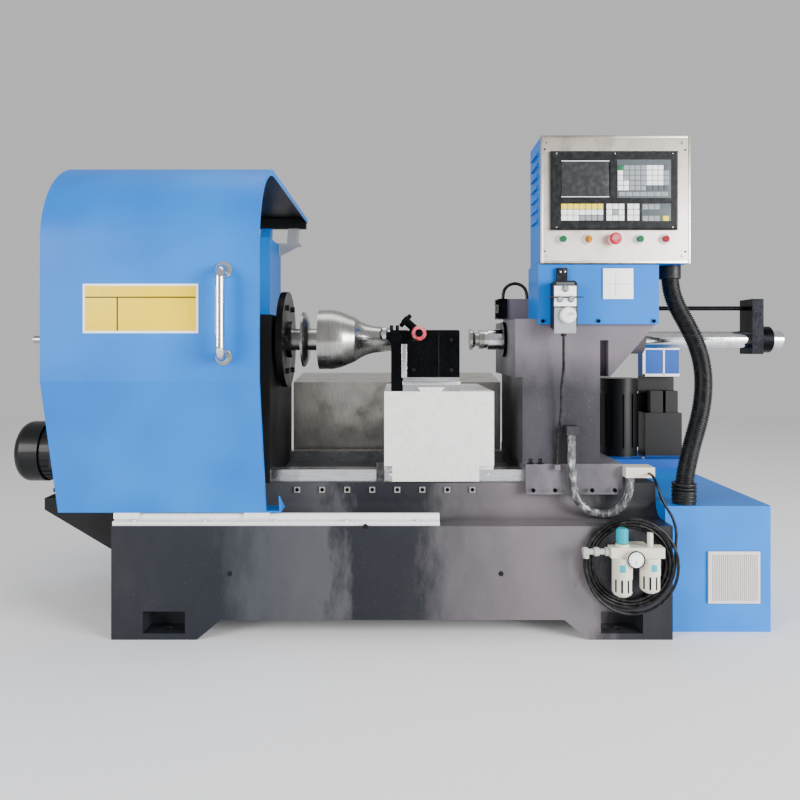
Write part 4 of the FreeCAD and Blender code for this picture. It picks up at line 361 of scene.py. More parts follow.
label_yellow = moulded("label_yellow", "#EEC900", 0.42, dust="#DCCB1E", dusty=0.4)
screen_glass = moulded("screen_film", "#2A2B2D", 0.16, 30, 0.1, dust="#4A4C4E", dusty=0.5,
                       coat=0.6)
floor_white = moulded("studio_floor", "#F1F1F1", 0.65, 40, 0.01)
ground.data.materials.append(floor_white)
print("materials", len(bpy.data.materials))

# %% [markdown]
# ## Finishes for the CAD pieces
# A CAD piece whose shape is right stays, and only gets its finish. The guard is one sheet, blue
# outside, with its inside painted near-black as painted shade. Its own normals tell them apart,
# because every outer face looks forward or up, and every inner one back or down. The power pack
# has a blue tank, and its pump and valves above the lid are black. A band at the cabinet's
# right-hand end is painted grey as painted light, where daylight falls on its end face, and the
# air unit's coupler is nickel.

# %% One piece in two colours
def second_colour(outside, name, second, where):
    """A finish with a second colour wherever where(tree) gives one."""
    material = outside.copy()
    material.name = name
    tree = material.node_tree
    shader = tree.nodes["Principled BSDF"]
    paint = shader.inputs["Base Color"].links[0].from_socket
    tree.links.new(blend(tree, where(tree), paint, linear(second)), shader.inputs["Base Color"])
    return material


def faces_inward(tree):
    normal = add(tree, "SeparateXYZ", {"Vector": add(tree, "TexCoord").outputs["Normal"]})
    inward = add(tree, "Math", {0: normal.outputs["Y"], 1: normal.outputs["Z"]},
                 operation="SUBTRACT").outputs[0]
    return add(tree, "Math", {0: inward, 1: 0.5}, operation="GREATER_THAN").outputs[0]


def within(axis, low, high):
    """A mask of the space between two places along an axis, in metres."""
    def mask(tree):
        along = height_of(tree, add(tree, "TexCoord").outputs["Object"], axis)
        above = add(tree, "Math", {0: along, 1: low}, operation="GREATER_THAN").outputs[0]
        below = add(tree, "Math", {0: along, 1: high}, operation="LESS_THAN").outputs[0]
        return add(tree, "Math", {0: above, 1: below}, operation="MULTIPLY").outputs[0]
    return mask


TANK_LID, TERMINAL_BOX = 0.452, 0.797
CABINET_SIDE, PAST_CABINET = -0.5395, -0.4
COUPLER_END = 0.6565
# The guard's inner faces are painted near-black: painted shade.
guard_blue = second_colour(machine_blue, "guard_blue_painted_shade_inside", "#0B0C10", faces_inward)
power_pack_blue = second_colour(deep_blue, "power_pack_blue_black", "#08090B",
                                within("Z", TANK_LID, TERMINAL_BOX))
# A grey band at the cabinet's right-hand end: painted light where daylight falls on its end face.
cabinet_blue = second_colour(machine_blue, "cabinet_blue_painted_light_end", "#9A9DA2",
                             within("X", CABINET_SIDE, PAST_CABINET))
cream_nickel = second_colour(cream_abs, "cream_abs_nickel_coupler", "#A9A9A4",
                             within("X", 0, COUPLER_END))
print("materials", len(bpy.data.materials))

# %% The finish of every piece
FINISHES = {
    bed_paint: ["bed_casting"],
    ground_steel: ["guideway_rails", "cross_slide", "forming_roller"],
    black_oxide: ["tool_block", "roller_post", "trim_wheel", "quill_collar", "quill_bracket"],
    white_enamel: ["guard_rail", "guard_runners", "hand_wheel"],
    black_casting: ["headstock_casting", "motor_platform"],
    turned_steel: ["spindle_bearings", "spindle_shaft", "mandrel", "ejector_disc",
                   "spindle_pulley", "motor_pulley", "live_centre", "gib_clamps"],
    oiled_steel: ["face_plate"],
    belt_rubber: ["drive_belts"],
    black_coat: ["spindle_motor", "guard_track"],
    guard_blue: ["guard_shell"],
    hard_chrome: ["guard_handle", "tailstock_quill"],
    machine_blue: ["control_box", "control_pedestal", "electrical_cabinet"],
    cabinet_blue: ["rear_cabinet"],
    stainless_sheet: ["rear_way_cover"],
    apron_enamel: ["saddle_casting", "saddle_apron"],
    wiper_rubber: ["way_wiper"],
    nylon_red: ["nylon_wheel"],
    base_paint: ["tailstock_base"],
    tail_paint: ["tailstock_body"],
    panel_stainless: ["panel_plate"],
    black_abs: ["cnc_unit", "pendant_box", "conduit_cuffs"],
    cap_green: ["start_button", "clamp_button"],
    cap_red: ["release_button"],
    stop_red: ["emergency_stop"],
    cap_amber: ["mode_selector"],
    beige_abs: ["vent_grille"],
    power_pack_blue: ["hydraulic_unit"],
    cream_nickel: ["air_unit"],
    cream_abs: ["junction_block"],
    teal_abs: ["regulator_knob"],
}
for finish, names in FINISHES.items():
    for name in names:
        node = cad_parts[name]
        node.data.materials.clear()
        node.data.materials.append(finish)
dressed = sum(len(names) for names in FINISHES.values())
print("dressed", dressed, "of", len(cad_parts))

# %% [markdown]
# ## Cables and hoses
# A cable is one smooth line: a NURBS curve whose points are the corners of its route. It starts
# square to the gland it leaves and ends square to the one it meets. The curve gets its order
# after its points, because a shorter curve can't hold it.

# %% Smooth lines
BED_FRONT = -0.463


def spot(x, y, z):
    """A place in millimetres, with y from the bed's front face, as metres in the frame."""
    return Vector((x / 1000, BED_FRONT + y / 1000, z / 1000))


def route(start, end, way, rise):
    """The corners from start to end: shares of the way along X and Y, and of the rise."""
    span = end - start
    return [start, *[start + Vector((x * span.x, y * span.y, z * rise / 1000))
                     for x, y, z in way], end]


def smooth_line(name, points, radius=0.0, steps=10):
    data = bpy.data.curves.new(name, "CURVE")
    data.dimensions = "3D"
    line = data.splines.new("NURBS")
    line.points.add(len(points) - 1)
    for knot, point in zip(line.points, points):
        knot.co = (*point, 1)
    line.order_u = 3
    line.use_endpoint_u = True
    data.resolution_u = steps
    data.bevel_depth = radius
    data.bevel_resolution = 5
    data.use_fill_caps = True
    piece = bpy.data.objects.new(name, data)
    bpy.context.collection.objects.link(piece)
    return piece


def stepped(points, steps=10):
    """The places that Blender steps through along the smooth line of a route."""
    bare = smooth_line("measure", points, steps=steps)
    places = [vertex.co.copy() for vertex in bpy.data.meshes.new_from_object(bare).vertices]
    bpy.data.objects.remove(bare)
    return places


def lay_cable(name, node, points, radius, finish):
    cable = smooth_line(name, points, radius)
    cable.data.materials.append(finish)
    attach(cable, "machine")
    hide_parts(node)
    walked = stepped(points)
    return cable

# %% [markdown]
# ### Film over the cable bundle
# The bundle in front of the tailstock is wrapped in clear packing film over dark wires: a
# wrinkled, glossy skin, its folds painted white as painted highlights.

# %% Wrapped bundle
def wrapping_film():
    material, tree, shader, place = start("packing_film", 0.22, coat=0.8)
    folds = cloud(tree, streak(tree, place, (1, 1, 0.45)), 17, detail=6, roughness=0.75)
    # Near-white along the folds: painted highlights.
    tree.links.new(between(tree, folds, (0.30, "#1B1B1C"), (0.47, "#3E3F40"), (0.58, "#77787A"),
                           (0.70, "#D6D8DA")), shader.inputs["Base Color"])
    tree.links.new(spread(tree, folds, 0.35, 0.12), shader.inputs["Roughness"])
    relief(tree, shader, folds, 5.0, 0.9)
    return material


WRAPPED_WAY = [(0, 0, 0.423), (0.016, 0, 0.88), (0.041, 0, 1.373), (0.17, 0, 1.676),
               (0.392, 0, 1.852), (0.65, 0, 1.852), (0.871, 0.5, 1.676), (1, 1, 1.373)]
lay_cable("wrapped_bundle", "film_wrapped_cable",
          route(spot(577, 98, 640), spot(771.2, 100.1, 498), WRAPPED_WAY, -142),
          0.014, wrapping_film())

# %% The pendant's cable and the short arc over the quill
PENDANT_WAY = [(0, 0, 0.136), (-0.333, 0.386, 0.266), (0.25, 0.568, 0.402),
               (-0.083, 0.705, 0.536), (0.333, 0.773, 0.666), (0.917, 0.864, 0.784),
               (1, 1, 0.882)]
lay_cable("pendant_lead", "pendant_cable",
          route(spot(544, 67, 963), spot(532, 111, 538), PENDANT_WAY, -425),
          0.0045, hose_black)
SENSOR_WAY = [(0, 0, 0.33), (0.193, 0, 0.591), (0.5, 0, 0.693), (0.807, 0, 0.591), (1, 0, 0.33)]
lay_cable("sensor_hose", "sensor_conduit",
          route(spot(476, 350, 1102), spot(388, 350, 1102), SENSOR_WAY, 88),
          0.006, hose_black)

# %% [markdown]
# ### The coiled air hose
# The hose leaves the coupler's elbow, goes round the air unit in a hank, first inwards in front
# and then outwards behind, and runs up over the bed's corner. Its turns are more points of the
# same line, 24 to a turn. The line cuts inside its points, so they stand a little further out.

# %% Air hose
HANK_MIDDLE = Vector((0.733, BED_FRONT, 0.248))
HANK_TURNS = 6.5
TURN_IN = 3.75
POINTS_A_TURN = 24
WIDEST, PITCH_IN, PITCH_OUT = 0.149, 0.0099, 0.0128
AT_THE_ELBOW, IN_FRONT, BEHIND = 0.056, 0.021, 0.008
HANK_END = 0.147075


def eased(share):
    share = min(1, max(0, share))
    return share * share * (3 - 2 * share)


def hank_place(turn):
    """A place in the hank after so many turns: inwards in front, then outwards behind."""
    radius = WIDEST - PITCH_IN * min(turn, TURN_IN) + PITCH_OUT * max(0, turn - TURN_IN)
    radius /= math.cos(math.pi / POINTS_A_TURN)
    out = (AT_THE_ELBOW + (IN_FRONT - AT_THE_ELBOW) * eased(turn)
           + (BEHIND - IN_FRONT) * eased((turn - TURN_IN + 0.5) / 0.5))
    angle = math.pi * (1 + 2 * turn)
    return HANK_MIDDLE + Vector((radius * math.cos(angle), -out, radius * math.sin(angle)))


hank = [hank_place(i / POINTS_A_TURN) for i in range(1, int(HANK_TURNS * POINTS_A_TURN) + 1)]
hank[-1] = HANK_MIDDLE + Vector((HANK_END, -BEHIND, 0))
elbow = Vector((0.584, BED_FRONT - AT_THE_ELBOW, 0.2762))
HOSE_WAY = [(0, 0, 0.189), (-0.076, 0.011, 0.367), (0.12, 0.054, 0.53), (0.432, 0.12, 0.633),
            (0.725, 0.174, 0.735), (0.882, 0.228, 0.841), (0.96, 0.348, 0.917),
            (0.99, 0.511, 0.97), (1, 0.739, 1)]
over_the_bed = route(hank[-1], spot(829, 84, 512), HOSE_WAY, 264)[1:]
lay_cable("air_hose", "air_hose_coil",
          [elbow, elbow + Vector((0, 0, -0.02))] + hank + over_the_bed,
          0.0045, hose_black)

# %% [markdown]
# ### The ribbed conduit
# The control box's cables hang down to the right-hand cabinet inside a corrugated hose. Each
# rib is a short step out and in again, so rings of points are set along the smooth line: two
# on the crest and two in the valley of every rib.

# %% Steps along a line
def pick(piece):
    """Selects one piece alone, ready for an operator."""
    bpy.ops.object.select_all(action="DESELECT")
    piece.select_set(True)
    bpy.context.view_layer.objects.active = piece


def walk(points, spacing):
    """Places a set distance apart along a smooth line, each with the way it runs there."""
    walked = stepped(points, 40)
    stops, travelled, wanted = [], 0.0, 0.0
    for here, there in zip(walked, walked[1:]):
        step = (there - here).length
        while wanted <= travelled + step and step:
            stops.append((here.lerp(there, (wanted - travelled) / step),
                          (there - here).normalized()))
            wanted += spacing
        travelled += step
    return stops, travelled

# %% Ribbed conduit
CONDUIT_RADIUS, CONDUIT_VALLEY, CONDUIT_RIBS = 0.030, 0.0270, 110


def ribbed_hose(name, points, radius, valley, ribs, finish, sides=36):
    _, long = walk(points, 0.01)
    quarter = long / ribs / 4
    stops, _ = walk(points, quarter * 0.99999)
    rings, faces = [], []
    for i, (middle, way) in enumerate(stops):
        reach = radius if i % 4 in (1, 2) else valley
        across = Vector((0, 1, 0)).cross(way).normalized()
        up = way.cross(across)
        for side in range(sides):
            turn = 2 * math.pi * side / sides
            rings.append(middle + (across * math.cos(turn) + up * math.sin(turn)) * reach)
    for ring in range(len(stops) - 1):
        for side in range(sides):
            after = (side + 1) % sides
            faces.append((ring * sides + side, ring * sides + after,
                          (ring + 1) * sides + after, (ring + 1) * sides + side))
    mesh = bpy.data.meshes.new(name)
    mesh.from_pydata([tuple(point) for point in rings], [], faces)
    hose = bpy.data.objects.new(name, mesh)
    bpy.context.collection.objects.link(hose)
    mesh.materials.append(finish)
    pick(hose)
    bpy.ops.object.mode_set(mode="EDIT")
    bpy.ops.mesh.select_all(action="SELECT")
    bpy.ops.mesh.normals_make_consistent(inside=False)
    bpy.ops.object.mode_set(mode="OBJECT")
    bpy.ops.object.shade_smooth_by_angle(angle=math.radians(55))
    return hose, long, [stop[0] for stop in stops]


CONDUIT_WAY = [(0, 0, 0.082), (1.05, 0.041, 0.17), (2.95, 0.123, 0.258), (4.55, 0.233, 0.352),
               (5.25, 0.356, 0.453), (5, 0.493, 0.557), (4.05, 0.644, 0.658),
               (2.6, 0.795, 0.758), (1.55, 0.932, 0.852), (1, 1, 0.918)]
conduit_route = route(spot(932, 178, 1205), spot(952, 105, 410), CONDUIT_WAY, -795)
conduit, conduit_long, conduit_line = ribbed_hose(
    "ribbed_conduit", conduit_route, CONDUIT_RADIUS, CONDUIT_VALLEY, CONDUIT_RIBS, black_abs)
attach(conduit, "machine")
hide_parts("cable_conduit")
print("conduit", round(conduit_long, 3), "m")

# %% [markdown]
# ## New pieces
# What is too fine for the CAD model is made here: keys, labels, rings, screws and seams. Each
# starts as a primitive at its size and place in millimetres, y counted from the machine's
# middle, and is shaped in edit mode. A bevel on every edge matters most: real edges are never
# sharp, and the narrow band catches the light.

# %% Blocks with broken edges
def place_mm(x, y, z):
    return Vector((x, y, z)) / 1000


def settle(piece):
    """Puts the piece's place and size into its mesh."""
    pick(piece)
    bpy.ops.object.transform_apply(location=True, rotation=True, scale=True)
    return piece


def block(low, high, edge=0.5, segments=2):
    """A block between two corners, every edge broken by a bevel, all in millimetres."""
    bpy.ops.object.select_all(action="DESELECT")
    low, high = place_mm(*low), place_mm(*high)
    bpy.ops.mesh.primitive_cube_add(size=1, location=(low + high) / 2)
    piece = bpy.context.object
    piece.scale = high - low
    settle(piece)
    bpy.ops.object.mode_set(mode="EDIT")
    bpy.ops.mesh.select_all(action="SELECT")
    bpy.ops.mesh.bevel(offset=edge / 1000, segments=segments, affect="EDGES")
    bpy.ops.object.mode_set(mode="OBJECT")
    return piece

# %% [markdown]
# A turned piece is a disc that is extruded and resized again and again, the way a lathe tool
# steps along a profile. It is made upright and then laid along its axis.

# %% Turned pieces
AXES = {"X": (0, math.pi / 2, 0), "-Y": (math.pi / 2, 0, 0), "Z": (0, 0, 0)}


def turned(centre, axis, profile, sides=40):
    """A turned piece. Its profile is pairs of distance along the axis and radius, in mm."""
    (along, radius), *rest = [(far / 1000, wide / 1000) for far, wide in profile]
    bpy.ops.object.select_all(action="DESELECT")
    bpy.ops.mesh.primitive_circle_add(vertices=sides, radius=radius, fill_type="NGON")
    piece = bpy.context.object
    bpy.ops.object.mode_set(mode="EDIT")
    bpy.ops.mesh.select_all(action="SELECT")
    bpy.ops.transform.translate(value=(0, 0, along))
    for far, wide in rest:
        bpy.ops.mesh.extrude_region_move(TRANSFORM_OT_translate={"value": (0, 0, far - along)})
        bpy.ops.transform.resize(value=(wide / radius, wide / radius, 1),
                                 center_override=(0, 0, far))
        along, radius = far, wide
    bpy.ops.mesh.select_all(action="SELECT")
    bpy.ops.mesh.normals_make_consistent(inside=False)
    bpy.ops.object.mode_set(mode="OBJECT")
    piece.rotation_euler = AXES[axis]
    piece.location = place_mm(*centre)
    return settle(piece)

# %% Copies, joining and fitting
def twin_of(piece):
    """A copy with a mesh of its own."""
    twin = piece.copy()
    twin.data = piece.data.copy()
    bpy.context.collection.objects.link(twin)
    return twin


def copies(piece, moves):
    """The piece and its copies, moved by millimetres."""
    parts = [piece]
    for move in moves:
        twin = twin_of(piece)
        twin.location = place_mm(*move)
        parts.append(settle(twin))
    return parts


def turn_about(piece, centre, axis, degrees):
    """Turns a piece about an axis through a place, such as a bowl's or a dial's middle."""
    pick(piece)
    bpy.ops.object.mode_set(mode="EDIT")
    bpy.ops.mesh.select_all(action="SELECT")
    bpy.ops.transform.rotate(value=math.radians(degrees), orient_axis=axis,
                             center_override=place_mm(*centre))
    bpy.ops.object.mode_set(mode="OBJECT")
    return piece


def ring_of(piece, centre, axis, turns):
    """The piece and its copies, each turned by so many degrees."""
    return [piece, *[turn_about(twin_of(piece), centre, axis, turn) for turn in turns]]


def fit(name, parts, finish, body="machine", replaces=(), smooth=40):
    """Joins parts into one named piece, with its finish and the body it rides on."""
    bpy.ops.object.select_all(action="DESELECT")
    for part in parts:
        part.select_set(True)
    piece = bpy.context.view_layer.objects.active = parts[0]
    if len(parts) > 1:
        bpy.ops.object.join()
    piece.name = piece.data.name = name
    piece.data.materials.clear()
    piece.data.materials.append(finish)
    bpy.ops.object.shade_smooth_by_angle(angle=math.radians(smooth))
    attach(piece, body)
    if replaces:
        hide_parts(*replaces)
    print(name, len(piece.data.polygons), "faces")
    return piece

# %% [markdown]
# ### The keyboard
# The control's keys are moulded caps in five colours. Each is a low block with well-rounded
# edges. A pad is its left edge, its top, the pitch across and down, and its rows as they are:
# w white, g grey, s slate, y yellow, t the dark green key, and a space where there is none.

# %% Keys
KEY_FACE = -380
KEY_PROUD = 3
KEY_GAP = 1.6
PADS = [
    (725, 1525.2, 18.9, 16.8, ["tggggwwws", "wggggwwwg", "wggggwwwg", "wwgggwwwg", "wwgggssss"]),
    (728, 1437.5, 23.3, 15, ["ggggggg"]),
    (539, 1398.6, 19.9, 18.9, ["yyyyyyy", "wwwwwww", "wwwgggg"]),
    (688, 1398.6, 19.9, 18.9, ["www", "wgw", "www"]),
    (757, 1398.6, 19.9, 18.9, ["ww", "ww", "ww"]),
    (806, 1397, 19.2, 18.9, ["ggg", "   ", "ggg"]),
    (873, 1359, 21, 18, ["y"]),
]
KEY_FINISHES = {"w": ("keys_white", key_white), "g": ("keys_grey", key_grey),
                "s": ("keys_slate", key_slate), "y": ("keys_yellow", key_yellow),
                "t": ("keys_green", cap_green)}


def keys_of(letter):
    """Every key of one colour: one cap is modelled for each pad, and the rest are its copies."""
    caps = []
    for left, top, across, down, rows in PADS:
        spots = [(column * across, -row * down) for row, line in enumerate(rows)
                 for column, key in enumerate(line) if key == letter]
        if spots:
            x, z = left + spots[0][0], top + spots[0][1]
            cap = block((x, KEY_FACE - KEY_PROUD, z - down + KEY_GAP),
                        (x + across - KEY_GAP, KEY_FACE + 1, z), 1.1, 3)
            caps += copies(cap, [(sx - spots[0][0], 0, sz - spots[0][1]) for sx, sz in spots[1:]])
    return caps


for letter, (name, finish) in KEY_FINISHES.items():
    fit(name, keys_of(letter), finish, replaces=["cnc_keys"])

# %% [markdown]
# ### The control's face
# Under the keys lie two slate membranes. The screen is a glossy film over dark glass, with a
# white strip along its upper and lower edges as a painted highlight. Pan-head screws hold the
# plate and the control's frame.

# %% Screen and membranes
fit("key_membranes", [block((723, KEY_FACE - 1.2, 1418), (900, KEY_FACE + 1, 1544), 0.5),
                      block((804, KEY_FACE - 1.2, 1342), (900, KEY_FACE + 1, 1400), 0.5)],
    key_slate)
fit("screen_film", [block((540.5, -376.5, 1420.5), (699.5, -373.5, 1542.5), 1.2, 3)],
    screen_glass)
# White strips along the screen's top and bottom edges: painted highlights.
fit("screen_edge_highlights", [block((540.5, -377.6, 1421.5), (699.5, -376.2, 1423.6), 0.4),
                    block((540.5, -377.6, 1539.5), (699.5, -376.2, 1541.6), 0.4)],
    label_white)

# %% Screws of the panel
FRONT = -366


def pan_head(x, y, z, axis="-Y", r=3.0):
    """A pan-head screw: its rim, its domed top and the recess for the driver."""
    return turned((x, y, z), axis, [(0, r), (0.35 * r, r), (0.6 * r, 0.86 * r), (0.72 * r, 0.5 * r),
                                    (0.72 * r, 0.4 * r), (0.3 * r, 0.28 * r)], 24)


screw = pan_head(489, FRONT, 1582)
fit("panel_screws", copies(screw, [(464, 0, -2), (0, 0, -337), (464, 0, -339)]), black_oxide)
small = pan_head(906, KEY_FACE, 1565, r=2.2)
fit("frame_screws", copies(small, [(-190, 0, 0), (0, 0, -243), (-382, 0, 0), (-382, 0, -243)]),
    ground_steel)

# %% [markdown]
# ### Rings of the buttons
# Each button stands in a bright bezel: a ring with a rounded crown that slopes in to the cap.
# The emergency stop's mushroom head has a raised ring of its own.

# %% Bezels
FIRST_BUTTON, BUTTON_PITCH, BUTTON_ROW = 547, 84.6, 1284
BEZEL = [(0, 17), (4, 17), (6.2, 15.6), (6.6, 14.6), (5.6, 12.6), (5.35, 12.3)]
CROWN = [(0, 15.2), (0.8, 15.0), (1.2, 14.2), (1.0, 10.8), (0.6, 10.4)]
ring = turned((FIRST_BUTTON, FRONT + 0.2, BUTTON_ROW), "-Y", BEZEL, 48)
fit("button_bezels", copies(ring, [(BUTTON_PITCH * i, 0, 0) for i in range(1, 5)]), white_enamel)
crown = turned((FIRST_BUTTON + 2 * BUTTON_PITCH, -396.6, BUTTON_ROW), "-Y", CROWN, 48)
fit("stop_crown", [crown], nylon_red, body="stop")

# %% [markdown]
# ### Plates and labels
# The guard carries a yellow plate with a white border and bare divider lines, and the pedestal
# a blank white card. Both are thin sheet, stuck on, with rounded corners.

# %% Plates
fit("label_border", [block((-953, -560.2, 970), (-603, -558.6, 1120), 0.5)], label_white,
    body="guard")
fit("label_face", [block((-946, -560.9, 977), (-610, -559.9, 1113), 0.3)], label_yellow,
    body="guard")
fit("label_lines", [block((-946, -561.4, 1077), (-610, -560.6, 1081), 0.2),
                    block((-850, -561.4, 977), (-846, -560.6, 1077), 0.2)], black_abs,
    body="guard")
fit("blank_card", [block((681, FRONT - 1.4, 1087), (781, FRONT + 0.4, 1188), 0.4)], label_white)
fit("card_lines", [block((700, FRONT - 1.8, 1135), (772, FRONT - 1.2, 1136.4), 0.2),
                   block((722, FRONT - 1.8, 1096), (723.4, FRONT - 1.2, 1172), 0.2)],
    key_grey)

# %% Folded edges, seams and screws of the box and pedestal
PANEL_TOP = 1628
fit("panel_edges", [block((474.8, FRONT, 1204.8), (483.4, FRONT + 4, PANEL_TOP), 0.8),
                    block((961.6, FRONT, 1204.8), (970.2, FRONT + 4, PANEL_TOP), 0.8),
                    block((483, FRONT, 1619.6), (962, FRONT + 4, PANEL_TOP), 0.8),
                    block((483, FRONT, 1206), (962, FRONT + 4, 1213.6), 0.8)],
    panel_stainless)
fit("box_seam", [block((476, FRONT - 1.4, 1201.5), (866, FRONT + 2, 1206), 0.8)], wiper_rubber)
low_screw = pan_head(482, FRONT, 1014, r=6)
fit("pedestal_screws", copies(low_screw, [(185, 0, 0), (368, 0, 0)]), black_oxide)

# %% [markdown]
# ### The pendant
# The hand box has a white face plate, parted by the black strap that holds the box on its hook.
# Three small knobs stand on the plate in bright rings, and the hand wheel turns below them.

# %% Pendant
fit("pendant_face", [block((508, -418.6, 1092), (580, -416.4, 1126), 1.2),
                     block((508, -418.6, 1060), (580, -416.4, 1087), 1.2)],
    label_white)
fit("pendant_strap", [block((488, -421, 1087.5), (603, -418.4, 1091.5), 0.8),
                      block((505, -419, 1087), (508.5, -366, 1092), 0.8),
                      block((579.5, -419, 1087), (583, -366, 1092), 0.8)], wiper_rubber)
LOWER_KNOBS = [(-18.2, 0, -33.8), (18.2, 0, -33.8)]
knob_ring = turned((544, -418.5, 1116.8), "-Y",
                   [(0, 11.5), (1.6, 11.5), (2.4, 10.6), (2.4, 9.2), (1.2, 8.6)], 32)
fit("knob_rings", copies(knob_ring, LOWER_KNOBS), ground_steel)
knob_cap = turned((544, -418, 1116.8), "-Y", [(0, 8.4), (9.4, 8.4), (10.6, 7.2), (10.6, 3)], 32)
fit("knob_caps", copies(knob_cap, LOWER_KNOBS), key_grey)
fit("pendant_lower", [block((508, -418.2, 972), (580, -416.4, 1056), 3, 3)], light_grey_coat)
fit("pendant_grip", [block((514, -418.4, 1129), (574, -416.4, 1138), 2, 3)], key_slate)
hook_screw = pan_head(536.5, -378, 1176, r=4)
fit("hook_screws", copies(hook_screw, [(15, 0, 0)]), ground_steel)

# %% [markdown]
# ### The tool head
# The block carries a ground guide strip, a joint line and small cap screws. The cross slide is
# bright where the slide wears it.

# %% Tool head
fit("guide_strip", [block((15, -340.2, 826), (33, -336.6, 938), 0.8)], ground_steel,
    body="tool_slide")
fit("block_joint", [block((139.4, -337.6, 828), (140.6, -336.8, 976), 0.3)], oiled_steel,
    body="tool_slide")
cap_screw = turned((56, -336.8, 952), "-Y", [(0, 6), (5.2, 6), (6, 5.3), (6, 3.4), (2.5, 3.2)], 24)
fit("block_screws", copies(cap_screw, [(0, 0, -100), (126, 0, 0), (126, 0, -100)]), oiled_steel,
    body="tool_slide")
fit("slide_edge", [block((18, -305.5, 800), (214, -302.6, 812), 0.8)], ground_steel,
    body="tool_slide")

# %% [markdown]
# ### Bolts, plugs and seams of the castings
# Every clamp on the way block has its screw hole. Hexagon-socket screws close the tailstock's
# base, two bolts hold its foot, small screws hold the apron, and plugs fill the bed's drilled
# holes.

# %% Small fasteners
clamps_low, clamps_high = (corner * 1000 for corner in map(Vector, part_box("gib_clamps")))
gib_hole = turned((-337, clamps_low.y, (clamps_low.z + clamps_high.z) / 2), "-Y",
                  [(-0.6, 6.4), (0.5, 6.4), (0.8, 6.0), (0.2, 5.2)], 24)
CLAMP_PITCH, CLAMPS = 84.5, 8
fit("gib_holes", copies(gib_hole, [(CLAMP_PITCH * i, 0, 0) for i in range(1, CLAMPS)]), black_oxide)
socket = turned((451, -361, 454), "-Y", [(0, 7), (5, 7), (6, 6.2), (6, 4), (2, 3.8)], 24)
fit("base_screws", copies(socket, [(72, 0, 0), (195, 0, 0), (270, 0, 0)]), black_oxide)
foot_bolt = turned((446, -334, 538), "Z", [(0, 17), (3, 17), (3, 13), (16, 13), (18, 11.5)], 6)
fit("foot_bolts", copies(foot_bolt, [(32, 0, 0)]), black_oxide)
apron_screw = pan_head(-22, -313, 760, r=4)
fit("apron_screws", copies(apron_screw, [(330, 0, 0), (0, 0, -262), (330, 0, -262)]), white_enamel,
    body="saddle")
plug = turned((-100, -463, 360), "-Y", [(0, 8), (1.2, 8), (1.8, 7), (1.4, 3)], 24)
fit("bed_plugs", copies(plug, [(430, 0, -150), (-430, 0, -150)]), black_casting)

# %% [markdown]
# ### The air unit
# Both bowls are glass in a slotted guard: dark slots let one see the level. The gauge has a
# white dial in a black rim, and a teal window marks each bowl.

# %% Bowls
BOWL_Y = -519
LEFT_BOWL, RIGHT_BOWL = 696, 782


def slots(x, low):
    """The dark slots round the front of a bowl's guard."""
    return [turn_about(block((x - 3, -551.2, low), (x + 3, -546, low + 40), 1.4, 3),
                       (x, BOWL_Y, 0), "Z", turn) for turn in (-54, -18, 18, 54)]


def window(x, low, turn):
    return turn_about(block((x - 8, -551.4, low), (x + 8, -547, low + 22), 1.2),
                      (x, BOWL_Y, 0), "Z", turn)


fit("bowl_slots", slots(LEFT_BOWL, 176) + slots(RIGHT_BOWL, 186), black_abs)
fit("bowl_windows", [window(LEFT_BOWL, 240, 14), window(RIGHT_BOWL, 242, -6)], teal_abs)

# %% Gauge
DIAL = (728.3, -552.5, 280)
fit("gauge_rim", [turned(DIAL, "-Y", [(0, 27), (2.6, 27), (3.6, 26), (3.6, 24), (1.2, 23.4)], 64)],
    black_abs)
fit("gauge_dial", [turned(DIAL, "-Y", [(0, 23.4), (1.6, 23.4), (2.0, 22.8), (2.0, 3), (3.4, 2.2)],
                          64)], label_white)
tick = block((727.7, -555.0, 297), (728.9, -554.2, 301), 0.2)
hand = block((727.9, -555.6, 264), (728.7, -554.6, 281), 0.3)
tick_turns = [turn for turn in range(-120, 121, 30) if turn]
fit("gauge_ticks", ring_of(tick, DIAL, "Y", tick_turns) + [hand], black_abs)

# %% Regulator's knob
RIBS = 20
fit("regulator_skirt", [turned((LEFT_BOWL, BOWL_Y, 312), "Z",
                               [(0.2, 20.5), (7, 20.5), (8.4, 19.5), (8.4, 17.4)], 40)],
    cream_abs)
rib = block((695.1, -537.2, 326), (696.9, -535.4, 364), 0.5)
rib_turns = [i * 360 / RIBS for i in range(1, RIBS)]
fit("regulator_ribs", ring_of(rib, (LEFT_BOWL, BOWL_Y, 0), "Z", rib_turns), teal_abs,
    body="regulator")

# %% [markdown]
# ### Behind the tailstock
# The power pack's terminal box has a white frame round a blue lid. The conduit's cuffs are
# moulded with rings that grip it.

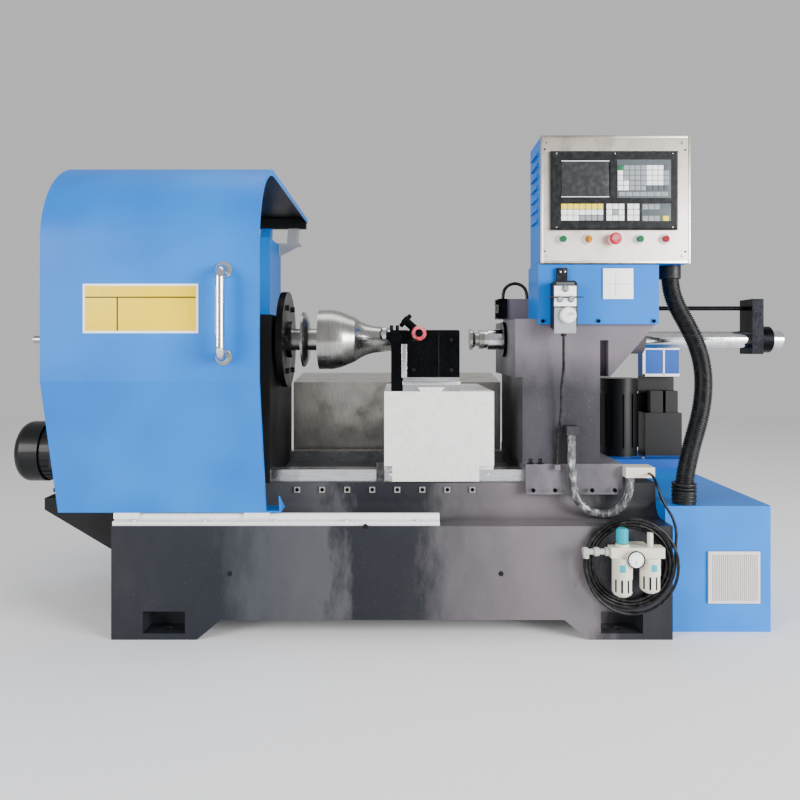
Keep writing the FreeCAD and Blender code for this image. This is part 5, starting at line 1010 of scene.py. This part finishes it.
# %% Terminal box and cuffs
FRAME_BARS = ((1088, 1100, 799, 925), (1088, 1252, 799, 811), (1088, 1252, 917, 927),
              (1178, 1186, 805, 921))
fit("terminal_frame", [block((left, 431.5, low), (right, 435, high), 1)
                       for left, right, low, high in FRAME_BARS], white_enamel)
CUFF_RING = [(0, 38.5), (2, 39.6), (5, 39.6), (7, 38.5)]
fit("cuff_rings", [turned((952, -358, 419 + 13 * i), "Z", CUFF_RING, 40) for i in range(5)],
    black_abs)

# %% [markdown]
# ### The back of the machine
# The cabinet behind the headstock has a hinged door with a swing handle and air slots, and the
# right-hand cabinet a screwed door in its end. The power pack's tank has a bolted lid, a filler
# cap and a level glass.

# %% Door fittings
hinge = turned((-1052, 596, 230), "Z", [(0, 7), (2, 8), (78, 8), (80, 7)], 24)
fit("door_hinges", copies(hinge, [(0, 0, 460), (0, 0, 920)]), black_oxide)
fit("door_handle", [block((-602, 589, 640), (-572, 596, 800), 2, 3),
                    block((-597, 595, 660), (-577, 612, 690), 3, 3),
                    block((-598, 603, 668), (-576, 614, 786), 4, 3)], black_abs)
# The air slots are bars painted darker blue: painted shade in the openings.
slot_bar = block((-930, 589, 1180), (-690, 593, 1186), 1.4, 3)
fit("door_slots", copies(slot_bar, [(0, 0, 18 * i) for i in range(1, 7)]), deep_blue)
cabinet_screw = pan_head(1221, -370, 380, "X", 5)
fit("cabinet_screws", copies(cabinet_screw, [(0, 640, 0), (0, 0, -340), (0, 640, -340)]),
    black_oxide)
fit("cabinet_door", [block((1220, -385, 24), (1222.5, 300, 396), 1.0)], machine_blue)

# %% Power pack fittings
LID_Z = 450
lid_bolt = turned((875, 338, LID_Z), "Z", [(0, 9), (1.6, 9), (1.6, 6.5), (7, 6.5), (8, 5.6)], 6)
fit("lid_bolts", copies(lid_bolt, [(0, 221, 0), (180, 221, 0), (360, 221, 0), (360, 0, 0),
                                   (180, 0, 0)]), ground_steel)
fit("filler_cap", [turned((900, 520, LID_Z), "Z",
                          [(0, 24), (10, 24), (12, 22), (12, 30), (38, 30), (44, 25)], 40)],
    black_abs)
fit("level_glass", [block((1254, 430, 180), (1262, 466, 330), 3, 3)], hard_chrome)
fit("level_window", [block((1260.5, 440, 200), (1264, 456, 310), 1.5, 3)], label_white)
